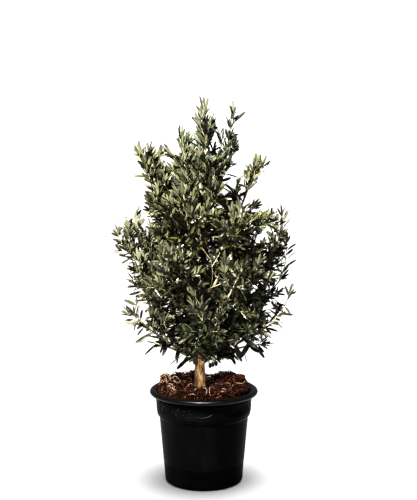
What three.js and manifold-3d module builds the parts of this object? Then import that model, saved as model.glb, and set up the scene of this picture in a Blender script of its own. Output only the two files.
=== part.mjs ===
// A potted olive tree: a bushy young olive on one short stem, in a round plastic nursery pot that is
// filled to the brim with bark compost. Millimetres, +Z up, and the origin is the centre of the pot's
// flat underside. +X is to the right and -Y to the front, as the tree is usually looked at.

import * as THREE from "three";
import { ConvexGeometry } from "three/addons/geometries/ConvexGeometry.js";
import { mergeVertices } from "three/addons/utils/BufferGeometryUtils.js";
import Module from "manifold-3d";

const wasm = await Module();
wasm.setup();

// The pot: a thin tapered wall with a collar under a rim that is rolled outwards.
const RIM_RADIUS = 150;
const POT_HEIGHT = 259;
const POT_WALL = 2.6;
const POT_FLOOR = 4;
const FOOT_RADIUS = 101.5;
const FOOT_CORNER = 8;
const BODY_RADIUS = 107.6;
const BODY_TAPER = 0.0876;
const BAND_TOP = 50;
const BAND_STEP = 0.8;
const COLLAR_FOOT = 180;
const COLLAR_SHOULDER = 193;
const COLLAR_TOP = 243;
const COLLAR_RADIUS = 129.8;
const COLLAR_TOP_RADIUS = 134.2;
const ROLL_HALF_WIDTH = 9.5;
const ROLL_HALF_HEIGHT = 7.5;
const POT_SIDES = 36;

// What meets keeps this much air, and so does each spray of foliage inside its own space.
const SEAM = 0.3;

// The soil: bark compost, level at the stem and heaped towards the back and the sides.
const GROUND = 261;
const SOIL_EDGE = 250;
const SOIL_RINGS = 6;
const LEVEL_ROUND_STEM = 23;
const HEAPS = [
  { x: -86, y: 22, high: 24, wide: 38 },
  { x: 62, y: 72, high: 24, wide: 42 },
  { x: -34, y: 94, high: 20, wide: 36 },
  { x: 98, y: 22, high: 20, wide: 34 },
  { x: 30, y: -70, high: 7, wide: 40 },
];

// The stem: bare up to its fork, then running on up through the crown to its own tip.
const STEM_FOOT = new THREE.Vector3(-11, 0, GROUND + SEAM);
const STEM_BEND = new THREE.Vector3(STEM_FOOT.x, STEM_FOOT.y, 510);
const STEM_TIP = new THREE.Vector3(11, 12, 735);
const STEM_RADIUS = 14.2;
const ROOT_FLARE = 3.4;
const FLARE_HEIGHT = 9;
const FORK_HEIGHT = 320;
const RADIUS_OVER_FORK = 10.4;
const STEM_TIP_RADIUS = 3.4;

// The crown's outline from its foot to its top: a height, how far to the right the crown's middle line
// passes there, and its radius round that. It has a broad tier, and a narrower one over a waist.
const CROWN = [
  [312, 10, 30],
  [345, 15, 105],
  [390, -5, 158],
  [480, 2, 198],
  [600, 5, 205],
  [690, -8, 230],
  [740, 8, 196],
  [800, -14, 140],
  [890, -4, 166],
  [945, -36, 122],
  [965, 10, 80],
  [1060, 25, 12],
];
const CROWN_FOOT = CROWN[0][0];

// The sprays of foliage: the way each faces, in degrees from the right and on to the back, how far out
// of the crown's axis its longest shoot ends, how high that is, and how much of its limb is bare bough.
const SPRAYS = [
  ["crest", 96, 5, 1012, 0],
  ["crest_right", 12, 80, 1002, 0],
  ["crest_left", 196, 62, 938, 0],
  ["crest_back", 82, 78, 930, 0],
  ["crest_front", 262, 74, 900, 0],
  ["shoulder_left", 176, 172, 902, 0],
  ["shoulder_right", -4, 142, 868, 0],
  ["shoulder_back", 112, 158, 842, 0],
  ["shoulder_front", 250, 150, 806, 0],
  ["high_right_front", 312, 170, 770, 0],
  ["high_back", 50, 178, 778, 0],
  ["middle_left", 184, 226, 690, 0.26],
  ["middle_right", 2, 214, 676, 0.26],
  ["middle_front_left", 240, 208, 654, 0.26],
  ["middle_front_right", 300, 204, 616, 0.26],
  ["middle_back_left", 122, 208, 668, 0.26],
  ["middle_back_right", 62, 206, 630, 0.26],
  ["low_left_back", 158, 216, 552, 0.26],
  ["low_left_front", 214, 220, 488, 0.26],
  ["low_front", 270, 200, 506, 0.26],
  ["low_right_front", 324, 216, 464, 0.26],
  ["low_right_back", 20, 234, 556, 0.26],
  ["low_back", 88, 204, 508, 0.26],
  ["skirt_left", 184, 156, 392, 0],
  ["skirt_right", 356, 160, 384, 0],
  ["skirt_front", 298, 112, 374, 0],
  ["inner_front", 256, 88, 478, 0],
  ["inner_left", 200, 84, 474, 0],
  ["inner_right", 352, 90, 474, 0],
  ["skirt_back", 118, 156, 396, 0],
];
const HEART = 0.72;

// The limbs: a bough bows out from the stem before it turns up, and the spray's own stem carries on.
// Their ranks, from 0 to 1, are by height less reach, and the low and wide ones leave the stem lowest.
const LOWEST_RANK = 224;
const HIGHEST_RANK = 1007;
const RANK_POWER = 1.3;
const LOWEST_ROOT = 326;
const STAGGER = 8;
const BOW = 0.12;
const ARCHED_UNDER = 412;
const LIMB_RADIUS = 2.8;
const LIMB_RADIUS_PER_MM = 0.009;
const LIMB_TIP_RADIUS = 2.3;

// The twigs, which leave a spray's stem one by one, each a third of a turn on from the last. They lift
// towards the light, and droop at the foot of the crown.
const TWIG_GAP = 30;
const TWIG_LENGTH = 130;
const TWIG_RADIUS = 1.9;
const TWIG_ANGLE = 46;
const TWIG_LIFT = 0.24;
const TWIG_DROOP = 0.5;
const DROOP_UNDER = 540;
const TWIG_ROOM = 2.5;
const TWIG_AIR = 4;

// The leaves: lance-shaped, and turned every way. There are fewer than on the real tree, so each is
// larger.
const LEAF_LENGTH = 90;
const LEAF_WIDTH = 29;
const LEAF_WIDEST = 0.46;
const LEAF_ROOT = 1.6;
const TIP_LEAF_LENGTH = 46;
const LEAF_GAP = 22;
const LEAF_OVERHANG = 24;
const LEAF_AIR = 2;
const FOLDED_ANGLE = 26;

// The olives, which hang under one spray: their places along its stem.
const OLIVE_SPRAY = "skirt_front";
const OLIVE_SHARES = [0.3, 0.42, 0.56];
const OLIVE_LENGTH = 15;
const OLIVE_WIDTH = 9.5;
const OLIVE_STALK = new THREE.Vector3(4, -5, -15);
const OLIVE_STALK_RADIUS = 0.9;

const UP = new THREE.Vector3(0, 0, 1);
const { degToRad, lerp, smoothstep } = THREE.MathUtils;

// A number from 0 to 1 that belongs to three counters, so that the tree grows the same way each time.
function chance(a, b, c) {
  const wave = Math.sin(a * 127.1 + b * 311.7 + c * 74.7) * 43758.5453;
  return wave - Math.floor(wave);
}

// A closed three.js geometry as a solid that can be cut and joined.
function solid(geometry) {
  const bare = geometry.clone();
  bare.deleteAttribute("normal");
  bare.deleteAttribute("uv");
  const merged = mergeVertices(bare, 1e-4);
  return new wasm.Manifold(
    new wasm.Mesh({
      numProp: 3,
      vertProperties: merged.getAttribute("position").array,
      triVerts: new Uint32Array(merged.index.array),
    }),
  );
}

// Many solids joined into one, in pairs so that no join grows long.
function joined(solids) {
  let row = solids;
  while (row.length > 1) {
    const next = [];
    for (let i = 0; i < row.length; i += 2) {
      next.push(i + 1 < row.length ? row[i].add(row[i + 1]) : row[i]);
    }
    row = next;
  }
  return row[0];
}

// The largest piece of a solid, without scraps that a cut left loose.
function largest(whole) {
  const pieces = whole.decompose();
  return pieces.reduce((best, piece) => (piece.volume() > best.volume() ? piece : best));
}

function namedMesh(name, whole, material) {
  const { numProp, numVert, vertProperties, triVerts } = whole.getMesh();
  const positions = new Float32Array(numVert * 3);
  for (let i = 0; i < numVert; i++) {
    positions.set(vertProperties.subarray(i * numProp, i * numProp + 3), i * 3);
  }
  const geometry = new THREE.BufferGeometry();
  geometry.setAttribute("position", new THREE.BufferAttribute(positions, 3));
  geometry.setIndex(new THREE.BufferAttribute(triVerts, 1));
  const mesh = new THREE.Mesh(geometry, material);
  mesh.name = name;
  return mesh;
}

// A closed profile of [radius, height] turned about the Z axis.
function turned(profile, sides) {
  const points = profile.map(([radius, height]) => new THREE.Vector2(radius, height));
  return new THREE.LatheGeometry(points, sides).rotateX(Math.PI / 2);
}

// Points of a profile on an ellipse, from one angle in degrees to another.
function rollArc(centre, halfWidth, halfHeight, from, to, steps) {
  const arc = [];
  for (let i = 0; i <= steps; i++) {
    const angle = degToRad(lerp(from, to, i / steps));
    arc.push([centre[0] + halfWidth * Math.cos(angle), centre[1] + halfHeight * Math.sin(angle)]);
  }
  return arc;
}

// The pot's radius outside and inside at any height under the rim.
function outerRadius(height) {
  if (height <= COLLAR_FOOT) return BODY_RADIUS + BODY_TAPER * height;
  if (height <= COLLAR_SHOULDER) {
    const share = (height - COLLAR_FOOT) / (COLLAR_SHOULDER - COLLAR_FOOT);
    return lerp(outerRadius(COLLAR_FOOT), COLLAR_RADIUS, share);
  }
  const share = (height - COLLAR_SHOULDER) / (COLLAR_TOP - COLLAR_SHOULDER);
  return lerp(COLLAR_RADIUS, COLLAR_TOP_RADIUS, share);
}

const innerRadius = (height) => outerRadius(height) - POT_WALL;

function potSolid() {
  const roll = [RIM_RADIUS - ROLL_HALF_WIDTH, POT_HEIGHT - ROLL_HALF_HEIGHT];
  const lip = -50;
  const outside = (height) => [outerRadius(height), height];
  const inside = (height) => [innerRadius(height), height];
  const profile = [
    [0, 0],
    [FOOT_RADIUS, 0],
    ...rollArc([BODY_RADIUS - FOOT_CORNER + 0.7, FOOT_CORNER], FOOT_CORNER, FOOT_CORNER, -60, 0, 2),
    [outerRadius(BAND_TOP - 6) - BAND_STEP, BAND_TOP - 6],
    outside(BAND_TOP),
    outside(COLLAR_FOOT),
    outside(COLLAR_SHOULDER),
    outside(COLLAR_TOP),
    ...rollArc(roll, ROLL_HALF_WIDTH - POT_WALL, ROLL_HALF_HEIGHT - POT_WALL, 155, lip, 3),
    ...rollArc(roll, ROLL_HALF_WIDTH, ROLL_HALF_HEIGHT, lip, 180, 6),
    inside(COLLAR_TOP),
    inside(COLLAR_SHOULDER),
    inside(COLLAR_FOOT),
    inside(FOOT_CORNER),
    [innerRadius(FOOT_CORNER) - 3, POT_FLOOR],
    [0, POT_FLOOR],
  ];
  return solid(turned(profile, POT_SIDES));
}

// How high the soil stands at a place.
function soilHeight(x, y) {
  const inwards = smoothstep(1 - Math.hypot(x, y) / innerRadius(COLLAR_TOP), 0, 0.22);
  let height = lerp(SOIL_EDGE, GROUND, inwards);
  for (const heap of HEAPS) {
    const away = Math.hypot(x - heap.x, y - heap.y) / heap.wide;
    height += heap.high * Math.exp(-away * away) * lerp(0.35, 1, inwards);
  }
  height += 2.4 * Math.sin(x * 0.11 + y * 0.07) * Math.cos(y * 0.13 - x * 0.05) * inwards;
  const fromStem = Math.hypot(x - STEM_FOOT.x, y - STEM_FOOT.y);
  return lerp(GROUND, height, smoothstep(fromStem, LEVEL_ROUND_STEM, 2 * LEVEL_ROUND_STEM));
}

function soilSolid() {
  const side = (height) => [innerRadius(height) - SEAM, height];
  const floor = POT_FLOOR + SEAM;
  const walls = [
    [0, floor],
    [innerRadius(FOOT_CORNER) - 3 - SEAM, floor],
    side(FOOT_CORNER + 1),
    side(COLLAR_FOOT),
    side(COLLAR_SHOULDER),
    side(COLLAR_TOP - 6),
  ];
  const edge = RIM_RADIUS - 2 * ROLL_HALF_WIDTH - SEAM;
  const rings = [];
  for (let ring = SOIL_RINGS; ring >= 0; ring--) {
    rings.push([(edge * ring) / SOIL_RINGS, SOIL_EDGE]);
  }
  const geometry = turned([...walls, ...rings], POT_SIDES / 2);
  const position = geometry.getAttribute("position");
  const rows = walls.length + rings.length;
  for (let i = 0; i < position.count; i++) {
    if (i % rows < walls.length) continue;
    const y = position.getY(i);
    const inwards = 1 - Math.hypot(position.getX(i), y) / edge;
    const x = position.getX(i) + STEM_FOOT.x * inwards;
    position.setXYZ(i, x, y, soilHeight(x, y));
  }
  return solid(geometry);
}

// A shoot is an arc that sets out towards its bend and ends heading away from it.
class Shoot {
  constructor(root, bend, tip, radius) {
    this.curve = new THREE.QuadraticBezierCurve3(root, bend, tip);
    this.radius = radius;
    this.length = this.curve.getLength();
    this.across = new THREE.Vector3().crossVectors(bend.clone().sub(root), tip.clone().sub(bend));
    if (this.across.lengthSq() < 1e-6) this.across.crossVectors(tip.clone().sub(root), UP);
    this.across.normalize();
  }
  at(share) {
    return this.curve.getPoint(share);
  }
  heading(share) {
    return this.curve.getTangent(share);
  }
  // The way out of the shoot at an angle to its heading, on the side that a clock angle names.
  outward(share, angle, clock) {
    const heading = this.heading(share);
    const over = new THREE.Vector3().crossVectors(heading, this.across);
    return heading
      .multiplyScalar(Math.cos(angle))
      .addScaledVector(this.across, Math.sin(angle) * Math.cos(clock))
      .addScaledVector(over, Math.sin(angle) * Math.sin(clock));
  }
}

const taper = (thick, thin) => (share) => lerp(thick, thin, share);

// The solid of a shoot from one share of its length to another: a cylinder bent along the arc.
function shootSolid(shoot, from, to, sides, steps) {
  const geometry = new THREE.CylinderGeometry(1, 1, 1, sides, steps);
  const position = geometry.getAttribute("position");
  for (let i = 0; i < position.count; i++) {
    const share = lerp(from, to, position.getY(i) + 0.5);
    const over = new THREE.Vector3().crossVectors(shoot.heading(share), shoot.across);
    const place = shoot
      .at(share)
      .addScaledVector(shoot.across, -position.getX(i) * shoot.radius(share))
      .addScaledVector(over, position.getZ(i) * shoot.radius(share));
    position.setXYZ(i, place.x, place.y, place.z);
  }
  return solid(geometry);
}

// The stem's radius: flared at the root, and stepping down where it forks.
function stemRadius(share) {
  const height = stem.at(share).z - GROUND;
  const over = lerp(RADIUS_OVER_FORK, STEM_TIP_RADIUS, smoothstep(share, 0.15, 1.1));
  const forked = smoothstep(height + GROUND, FORK_HEIGHT - 15, FORK_HEIGHT + 60);
  return ROOT_FLARE * Math.exp(-height / FLARE_HEIGHT) + lerp(STEM_RADIUS, over, forked);
}

const stem = new Shoot(STEM_FOOT, STEM_BEND, STEM_TIP, stemRadius);
const airRoundStem = new Shoot(STEM_FOOT, STEM_BEND, STEM_TIP, (share) => stemRadius(share) + 1.3 * SEAM);

// A place on the middle line of the stem, found by its height.
function stemAt(height) {
  let share = 0;
  while (share < 1 && stem.at(share).z < height) share += 0.002;
  return stem.at(Math.min(share, 1));
}

// Whether a place is inside the crown.
function insideCrown({ x, y, z }) {
  const next = CROWN.findIndex(([height]) => height > z);
  if (next < 1) return false;
  const [low, lowMiddle, lowRadius] = CROWN[next - 1];
  const [high, highMiddle, highRadius] = CROWN[next];
  const share = (z - low) / (high - low);
  return Math.hypot(x - lerp(lowMiddle, highMiddle, share), y) < lerp(lowRadius, highRadius, share);
}

// A spray's whole limb runs from the middle of the stem to the end of the spray's longest shoot.
function limbOf([name, facing, reach, height, bare], index) {
  const angle = degToRad(facing);
  const tip = new THREE.Vector3(reach * Math.cos(angle), reach * Math.sin(angle), height);
  const rank = (height - reach - LOWEST_RANK) / (HIGHEST_RANK - LOWEST_RANK);
  const stagger = bare ? STAGGER * (0.9 + (index % 3)) * (1 - rank) : 0;
  const root = stemAt(lerp(LOWEST_ROOT, STEM_TIP.z, rank ** RANK_POWER) + stagger);
  if (rank === 1) root.z += 2 * SEAM;
  const bend = root.clone().lerp(tip, 0.5);
  bend.z -= BOW * root.distanceTo(tip) * (height > ARCHED_UNDER ? 1 : -1);
  const thick = LIMB_RADIUS + LIMB_RADIUS_PER_MM * root.distanceTo(tip);
  const limb = new Shoot(root, bend, tip, taper(thick, LIMB_TIP_RADIUS));
  return { name, index, limb, bare, heart: limb.at(HEART) };
}

const sprays = SPRAYS.map(limbOf);

// Where wood stands: a place on each limb's middle line, the radius there, and whose limb it is.
const wood = [];

function standWood(shoot, from, to, owner) {
  for (let i = 0; i <= 60; i++) {
    const share = lerp(from, to, i / 60);
    wood.push({ place: shoot.at(share), radius: shoot.radius(share), owner });
  }
}

standWood(stem, 0, 1, "stem");
for (const { name, limb, bare } of sprays) {
  standWood(limb, 0, bare, "bough");
  standWood(limb, bare, 1, name);
}

// A spray's own space is all that lies nearer to its heart than to any other's.
function inOwnSpace(spray, place, room) {
  const own = place.distanceToSquared(spray.heart);
  return sprays.every((other) => {
    const apart = spray.heart.distanceTo(other.heart);
    return other === spray || place.distanceToSquared(other.heart) - own > 2 * room * apart;
  });
}

function clearOfWood(spray, place, room) {
  return wood.every(
    (limb) => limb.owner === spray.name || place.distanceTo(limb.place) > limb.radius + room,
  );
}

// The clock angle at which a three-sided shoot bears its next twig or leaf: the middle of a face.
const sideOf = (count, draw) => degToRad(30 + 120 * (count % 3) + 24 * (draw - 0.5));

// What grows from a shoot is tried on each of its sides, and shorter, until it fits.
function firstThatFits(count, draw, lengths, grow) {
  for (const length of lengths) {
    for (const side of [0, 1, 2]) {
      const grown = grow(sideOf(count + side, draw), length);
      if (grown) return grown;
    }
  }
  return null;
}

function twigAt(spray, share, clock, length) {
  const root = spray.limb.at(share);
  const away = spray.limb.outward(share, degToRad(TWIG_ANGLE), clock);
  const lift = lerp(-TWIG_DROOP, TWIG_LIFT, smoothstep(root.z, CROWN_FOOT, DROOP_UNDER));
  const tip = root.clone().addScaledVector(away.addScaledVector(UP, lift).normalize(), length);
  const thick = Math.max(TWIG_RADIUS, 0.58 * spray.limb.radius(share));
  const twig = new Shoot(root, root.clone().lerp(tip, 0.5), tip, taper(thick, TWIG_RADIUS));
  const fits = [0.1, 0.3, 0.5, 0.75, 1].every((share) => {
    const place = twig.at(share);
    return inOwnSpace(spray, place, TWIG_ROOM) && clearOfWood(spray, place, TWIG_AIR) && insideCrown(place);
  });
  return fits ? twig : null;
}

// The corners of a leaf from one share of its length to its tip. Its root is stout and sunk in the twig.
function leafCorners(root, away, roll, length, from) {
  const face = UP.clone().addScaledVector(away, -away.z).normalize().applyAxisAngle(away, roll);
  const aside = new THREE.Vector3().crossVectors(away, face);
  const corner = (along, across, over) =>
    root.clone().addScaledVector(away, along).addScaledVector(aside, across).addScaledVector(face, over);
  const half = (LEAF_WIDTH * length) / LEAF_LENGTH / 2;
  const base = lerp(LEAF_ROOT / 2, half, from / LEAF_WIDEST);
  return [
    corner(0.3 + from * length, base, 0.5),
    corner(0.3 + from * length, -base, 0.5),
    corner(0.3 + from * length, 0, -0.9),
    corner(length * LEAF_WIDEST, half, 0.5),
    corner(length * LEAF_WIDEST, -half, 0.5),
    corner(length, 0, -0.5),
  ];
}

// The solid of a leaf, or null where it would leave its space or touch a limb or another leaf.
function leafAt(spray, root, away, roll, length) {
  const corners = leafCorners(root, away, roll, length, 0);
  const half = corners[3].distanceTo(corners[4]) / 2;
  const fits =
    corners.every((place) => inOwnSpace(spray, place, SEAM)) &&
    [0.15, 0.3, 0.45, 0.6, 0.8, 1].every((share) => {
      const room = half * Math.min(share / LEAF_WIDEST, (1 - share) / (1 - LEAF_WIDEST));
      return clearOfWood(spray, root.clone().addScaledVector(away, length * share), room + LEAF_AIR);
    });
  if (!fits) return null;
  const blade = solid(new ConvexGeometry(leafCorners(root, away, roll, length, 0.18)));
  return spray.grown.intersect(blade).isEmpty() ? solid(new ConvexGeometry(corners)) : null;
}

// Grows the leaves of a shoot: one at its tip, and the others a third of a turn apart down its length.
// A leaf that would reach out of the crown lies closer to its shoot. Tells how many there is room for.
function growLeaves(spray, { shoot, from, key }) {
  const leaves = [leafAt(spray, shoot.at(0.99), shoot.heading(1), 0, TIP_LEAF_LENGTH)];
  if (leaves[0]) spray.grown = spray.grown.add(leaves[0]);
  const count = Math.round(((0.97 - from) * shoot.length) / LEAF_GAP);
  for (let i = 0; i < count; i++) {
    const share = lerp(0.97, from, (i + 0.3) / count);
    const draw = chance(spray.index, key, i);
    const roll = 2.6 * (chance(spray.index, key, i + 30) - 0.5);
    const longest = LEAF_LENGTH * lerp(0.9, 1.1, draw);
    const spread = degToRad(lerp(56, 30, share) + 16 * (draw - 0.5));
    const leaf = firstThatFits(key + i, draw, [longest, longest * 0.78], (clock, length) => {
      const root = shoot.at(share);
      const away = shoot.outward(share, spread, clock);
      if (insideCrown(root.clone().addScaledVector(away, length - LEAF_OVERHANG))) {
        return leafAt(spray, root, away, roll, length);
      }
      return leafAt(spray, root, shoot.outward(share, degToRad(FOLDED_ANGLE), clock), roll, 0.72 * length);
    });
    if (leaf) spray.grown = spray.grown.add(leaf);
    leaves.push(leaf);
  }
  return leaves.filter((leaf) => leaf).length;
}

// The twigs of a spray, one after another along its stem, each on the next side.
function twigsOf(spray) {
  const { limb, bare, index } = spray;
  const first = Math.max(bare, 0.12) + 0.05;
  const nodes = Math.floor(((0.92 - first) * limb.length) / TWIG_GAP);
  const twigs = [];
  for (let node = 0; node < nodes; node++) {
    const draw = chance(index, node, 50);
    const share = first + (node * TWIG_GAP) / limb.length;
    const reach = TWIG_LENGTH * lerp(1.2, 0.45, share) * lerp(0.8, 1.2, draw);
    const twig = firstThatFits(node + index, draw, [reach, reach * 0.72], (clock, length) =>
      twigAt(spray, share, clock, length),
    );
    if (twig) twigs.push({ shoot: twig, from: 0.25, key: node + 1 });
  }
  return twigs;
}

// Grows one spray: its own stem, the twigs along it, and the leaves on all of them. A twig with room for
// no leaf is left out, and the spray grown again without it.
function growSpray(spray) {
  const { limb, bare } = spray;
  const ownStem = shootSolid(limb, bare ? bare + SEAM / limb.length : 0, 1, 3, 4);
  let twigs = twigsOf(spray);
  for (const round of [1, 2]) {
    spray.grown = joined([ownStem, ...twigs.map(({ shoot }) => shootSolid(shoot, 0, 1, 3, 1))]);
    growLeaves(spray, { shoot: limb, from: Math.max(bare, 0.16) + 0.06, key: 0 });
    const leafy = twigs.filter((twig) => growLeaves(spray, twig) > 0);
    if (leafy.length === twigs.length) return;
    if (round === 1) twigs = leafy;
  }
}

// An olive that hangs on its stalk from a place on a shoot.
function hangingOlive(shoot, share) {
  const root = shoot.at(share);
  const end = root.clone().add(OLIVE_STALK);
  const stalk = new Shoot(root, root.clone().lerp(end, 0.5), end, () => OLIVE_STALK_RADIUS);
  const fruit = new THREE.IcosahedronGeometry(1, 0)
    .scale(OLIVE_WIDTH / 2, OLIVE_WIDTH / 2, OLIVE_LENGTH / 2)
    .translate(end.x, end.y, end.z - OLIVE_LENGTH / 2 + 1.5);
  return shootSolid(stalk, 0, 1, 3, 1).add(solid(fruit));
}

const materials = {
  pot: new THREE.MeshStandardMaterial({ color: 0x17181a, roughness: 0.5, metalness: 0 }),
  soil: new THREE.MeshStandardMaterial({ color: 0x4a2a1c, roughness: 0.95, metalness: 0 }),
  bark: new THREE.MeshStandardMaterial({ color: 0xa88a5c, roughness: 0.85, metalness: 0 }),
  foliage: new THREE.MeshStandardMaterial({ color: 0x4d5a3a, roughness: 0.55, metalness: 0 }),
};

const olive = new THREE.Group();
olive.add(namedMesh("pot", potSolid(), materials.pot));
olive.add(namedMesh("soil", soilSolid(), materials.soil));
olive.add(namedMesh("trunk", shootSolid(stem, 0, 1, 10, 12), materials.bark));

// Where a limb meets the stem, it is cut back to the air round the stem.
const cut = shootSolid(airRoundStem, 0, 1, 10, 12);
for (const { name, limb, bare } of sprays.filter((spray) => spray.bare)) {
  const bough = largest(shootSolid(limb, 0, bare, 6, 3).subtract(cut));
  olive.add(namedMesh(`bough_${name}`, bough, materials.bark));
}
for (const spray of sprays) {
  growSpray(spray);
  if (spray.name === OLIVE_SPRAY) {
    for (const share of OLIVE_SHARES) {
      spray.grown = spray.grown.add(hangingOlive(spray.limb, share));
    }
  }
  const whole = spray.bare ? spray.grown : spray.grown.subtract(cut);
  olive.add(namedMesh(`foliage_${spray.name}`, largest(whole), materials.foliage));
}

export default olive;
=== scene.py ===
"""A young olive tree in a nursery pot: bark, compost, olives and some thousands of leaves.

The crown grows by the same rule, from the same sizes, as the solids it replaces, and is then carried on
to finer twigs. Sizes are in millimetres until a mesh is made. -Y is the side that the picture shows.
"""
import math

import bmesh
import bpy
import numpy as np
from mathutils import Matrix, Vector, noise


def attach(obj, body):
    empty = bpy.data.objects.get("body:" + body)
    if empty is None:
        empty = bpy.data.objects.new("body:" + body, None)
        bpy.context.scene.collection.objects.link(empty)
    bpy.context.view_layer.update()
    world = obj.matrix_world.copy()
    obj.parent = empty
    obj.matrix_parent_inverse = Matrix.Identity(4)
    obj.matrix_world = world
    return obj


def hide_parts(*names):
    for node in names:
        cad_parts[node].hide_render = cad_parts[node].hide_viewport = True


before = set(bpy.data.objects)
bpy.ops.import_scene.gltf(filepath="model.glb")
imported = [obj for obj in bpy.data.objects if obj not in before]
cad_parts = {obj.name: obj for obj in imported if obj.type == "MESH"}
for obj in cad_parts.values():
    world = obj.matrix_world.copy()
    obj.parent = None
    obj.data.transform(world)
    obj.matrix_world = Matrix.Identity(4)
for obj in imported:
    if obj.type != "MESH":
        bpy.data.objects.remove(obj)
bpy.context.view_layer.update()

MM = 0.001
UP = np.array([0.0, 0.0, 1.0])

# The pot
RIM_RADIUS = 150
POT_HEIGHT = 259
POT_WALL = 2.6
POT_FLOOR = 4
FOOT_RADIUS = 101.5
FOOT_CORNER = 8
BODY_RADIUS = 107.6
BODY_TAPER = 0.0876
BAND_TOP = 60
BAND_STEP = 0.8
COLLAR_FOOT = 180
COLLAR_SHOULDER = 193
COLLAR_TOP = 243
COLLAR_RADIUS = 129.8
COLLAR_TOP_RADIUS = 134.2
ROLL_HALF_WIDTH = 9.5
ROLL_HALF_HEIGHT = 7.5
RIM_LAP = 3
POT_SIDES = 200

# The compost
GROUND = 261
SOIL_EDGE = 250
LEVEL_ROUND_STEM = 23
EDGE_SLOPE = 0.1
# Behind the stem, from the first depth back to the second, the compost and its chips are darkened by
# painted shade, up to that share
PAINTED_SHADE_FROM = 22
PAINTED_SHADE_TO = 46
PAINTED_SHADE_SHARE = 0.85
HEAPS = [(-108, 14, 30, 34), (62, 72, 24, 42), (-34, 94, 20, 36), (98, 22, 20, 34), (30, -70, 7, 40),
         (-84, 82, 16, 24)]

# The stem
STEM_FOOT = np.array([-11.0, 0.0, GROUND + 0.3])
STEM_BEND = np.array([STEM_FOOT[0], STEM_FOOT[1], 510.0])
STEM_TIP = np.array([11.0, 12.0, 735.0])
STEM_RADIUS = 14.2
ROOT_FLARE = 3.4
FLARE_HEIGHT = 9
FORK_HEIGHT = 320
RADIUS_OVER_FORK = 10.4
STEM_TIP_RADIUS = 3.4

# The crown's outline: a height, how far right its middle line passes there, and its radius round that
CROWN = np.array([
    (312, 10, 30), (345, 15, 105), (390, -5, 158), (480, 2, 198), (600, 5, 205), (690, -8, 230),
    (740, 8, 196), (800, -14, 140), (890, -4, 166), (945, -36, 122), (965, 10, 80), (1060, 25, 12),
], float)

# How far the crown's edge stands out to the left and right at each height
OUTLINE = np.array([
    (330, -27, 8), (348, -36, 16), (362, -48, 92), (380, -60, 114), (396, -76, 130), (412, -100, 144),
    (428, -130, 154), (445, -160, 168), (473, -166, 206), (506, -152, 212), (540, -186, 203),
    (590, -192, 212), (623, -214, 210), (656, -232, 220), (689, -222, 230), (722, -200, 202),
    (739, -188, 198), (760, -168, 150), (775, -152, 106), (800, -148, 112), (837, -152, 140),
    (866, -150, 134), (886, -146, 102), (910, -168, 86), (930, -150, 88), (946, -80, 88),
    (967, -70, 72), (985, -58, 40), (1000, -18, 18), (1064, -9, 9),
], float)

# Gaps of sky within that edge: how far right, how high, and their radius
SKY = np.array([
    (50, 1024, 20), (46, 994, 13), (-94, 968, 24), (94, 900, 15), (92, 864, 16), (76, 828, 12),
    (178, 484, 14), (222, 605, 10), (20, 326, 15), (36, 338, 12), (-205, 745, 8), (-229, 686, 9),
    (-216, 642, 9), (120, 770, 10), (-172, 545, 9), (-150, 488, 10), (-8, 345, 20), (-5, 366, 17),
    (14, 336, 13), (30, 340, 12), (50, 332, 12), (20, 349, 11), (38, 350, 11), (56, 346, 10),
    (-92, 362, 20), (-78, 925, 18), (-122, 352, 14), (-150, 380, 9), (-34, 990, 12), (35, 956, 9),
    (58, 812, 10), (112, 779, 14), (150, 672, 10), (163, 690, 8), (102, 404, 13), (102, 386, 12),
    (98, 370, 10), (124, 384, 12), (118, 366, 12), (-140, 412, 12), (-160, 404, 14), (-182, 392, 13),
    (-152, 384, 14), (-176, 376, 12), (-200, 404, 10), (-128, 390, 10),
], float)

# Shoots that stand out of that edge: where the last leaf of each ends, by the spray it belongs to
STANDING_OUT = {
    "crest": [(0, 8, 1063), (-8, -10, 1040)],
    "crest_right": [(84, 20, 1054), (72, -8, 1015)],
    "crest_left": [(-64, -20, 990), (-46, 10, 978), (-72, 34, 962), (-34, -30, 970)],
    "shoulder_left": [(-183, 0, 944), (-141, -30, 946), (-110, 26, 934), (-128, 60, 925),
        (-150, -60, 915), (-126, -10, 905), (-158, -40, 803)],
    "shoulder_right": [(173, -10, 905), (150, 22, 912), (142, -40, 900), (106, -34, 878)],
    "middle_right": [(213, 20, 774), (196, -50, 758), (176, 50, 768)],
    "low_right_back": [(230, 30, 696), (216, 90, 660)],
    "middle_left": [(-248, -10, 722), (-212, 60, 742), (-192, -70, 740), (-176, 10, 770),
        (-168, -40, 752), (-252, 40, 667)],
    "low_right_front": [(243, -40, 560), (212, -60, 503), (198, -40, 474)],
    "low_left_front": [(-222, -60, 506), (-150, -110, 480), (-118, -112, 462), (-84, -100, 438)],
}

# Large leaves that hang free at the foot of the crown: root, then tip. Then the green of each, by its place
# among a tier's greens, and how far it is rolled over, in radians.
LONE_LEAVES = np.array([
    ((-130, -20, 421), (-190, -28, 390)), ((133, -60, 412), (98, -66, 356)),
    ((84, -64, 402), (96, -66, 356)), ((-179, -70, 501), (-214, -74, 519)),
    ((-179, -70, 501), (-181, -74, 526)), ((-62, -50, 392), (-76, -56, 350)),
    ((-98, -30, 398), (-112, -30, 374)), ((-37, -60, 389), (-18, -62, 334)),
    ((-28, -60, 397), (-24, -62, 350)), ((-22, -62, 394), (6, -66, 354)),
], float)
LONE_LEAF_PAINTS = np.array([4, 4, 4, 2, 1, 1, 1, 1, 2, 1])
LONE_LEAF_ROLLS = np.array([-1.1, -1.3, 1.3, -0.9, 0.9, -0.9, 0.9, 1.3, 1.2, 1.3])

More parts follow.
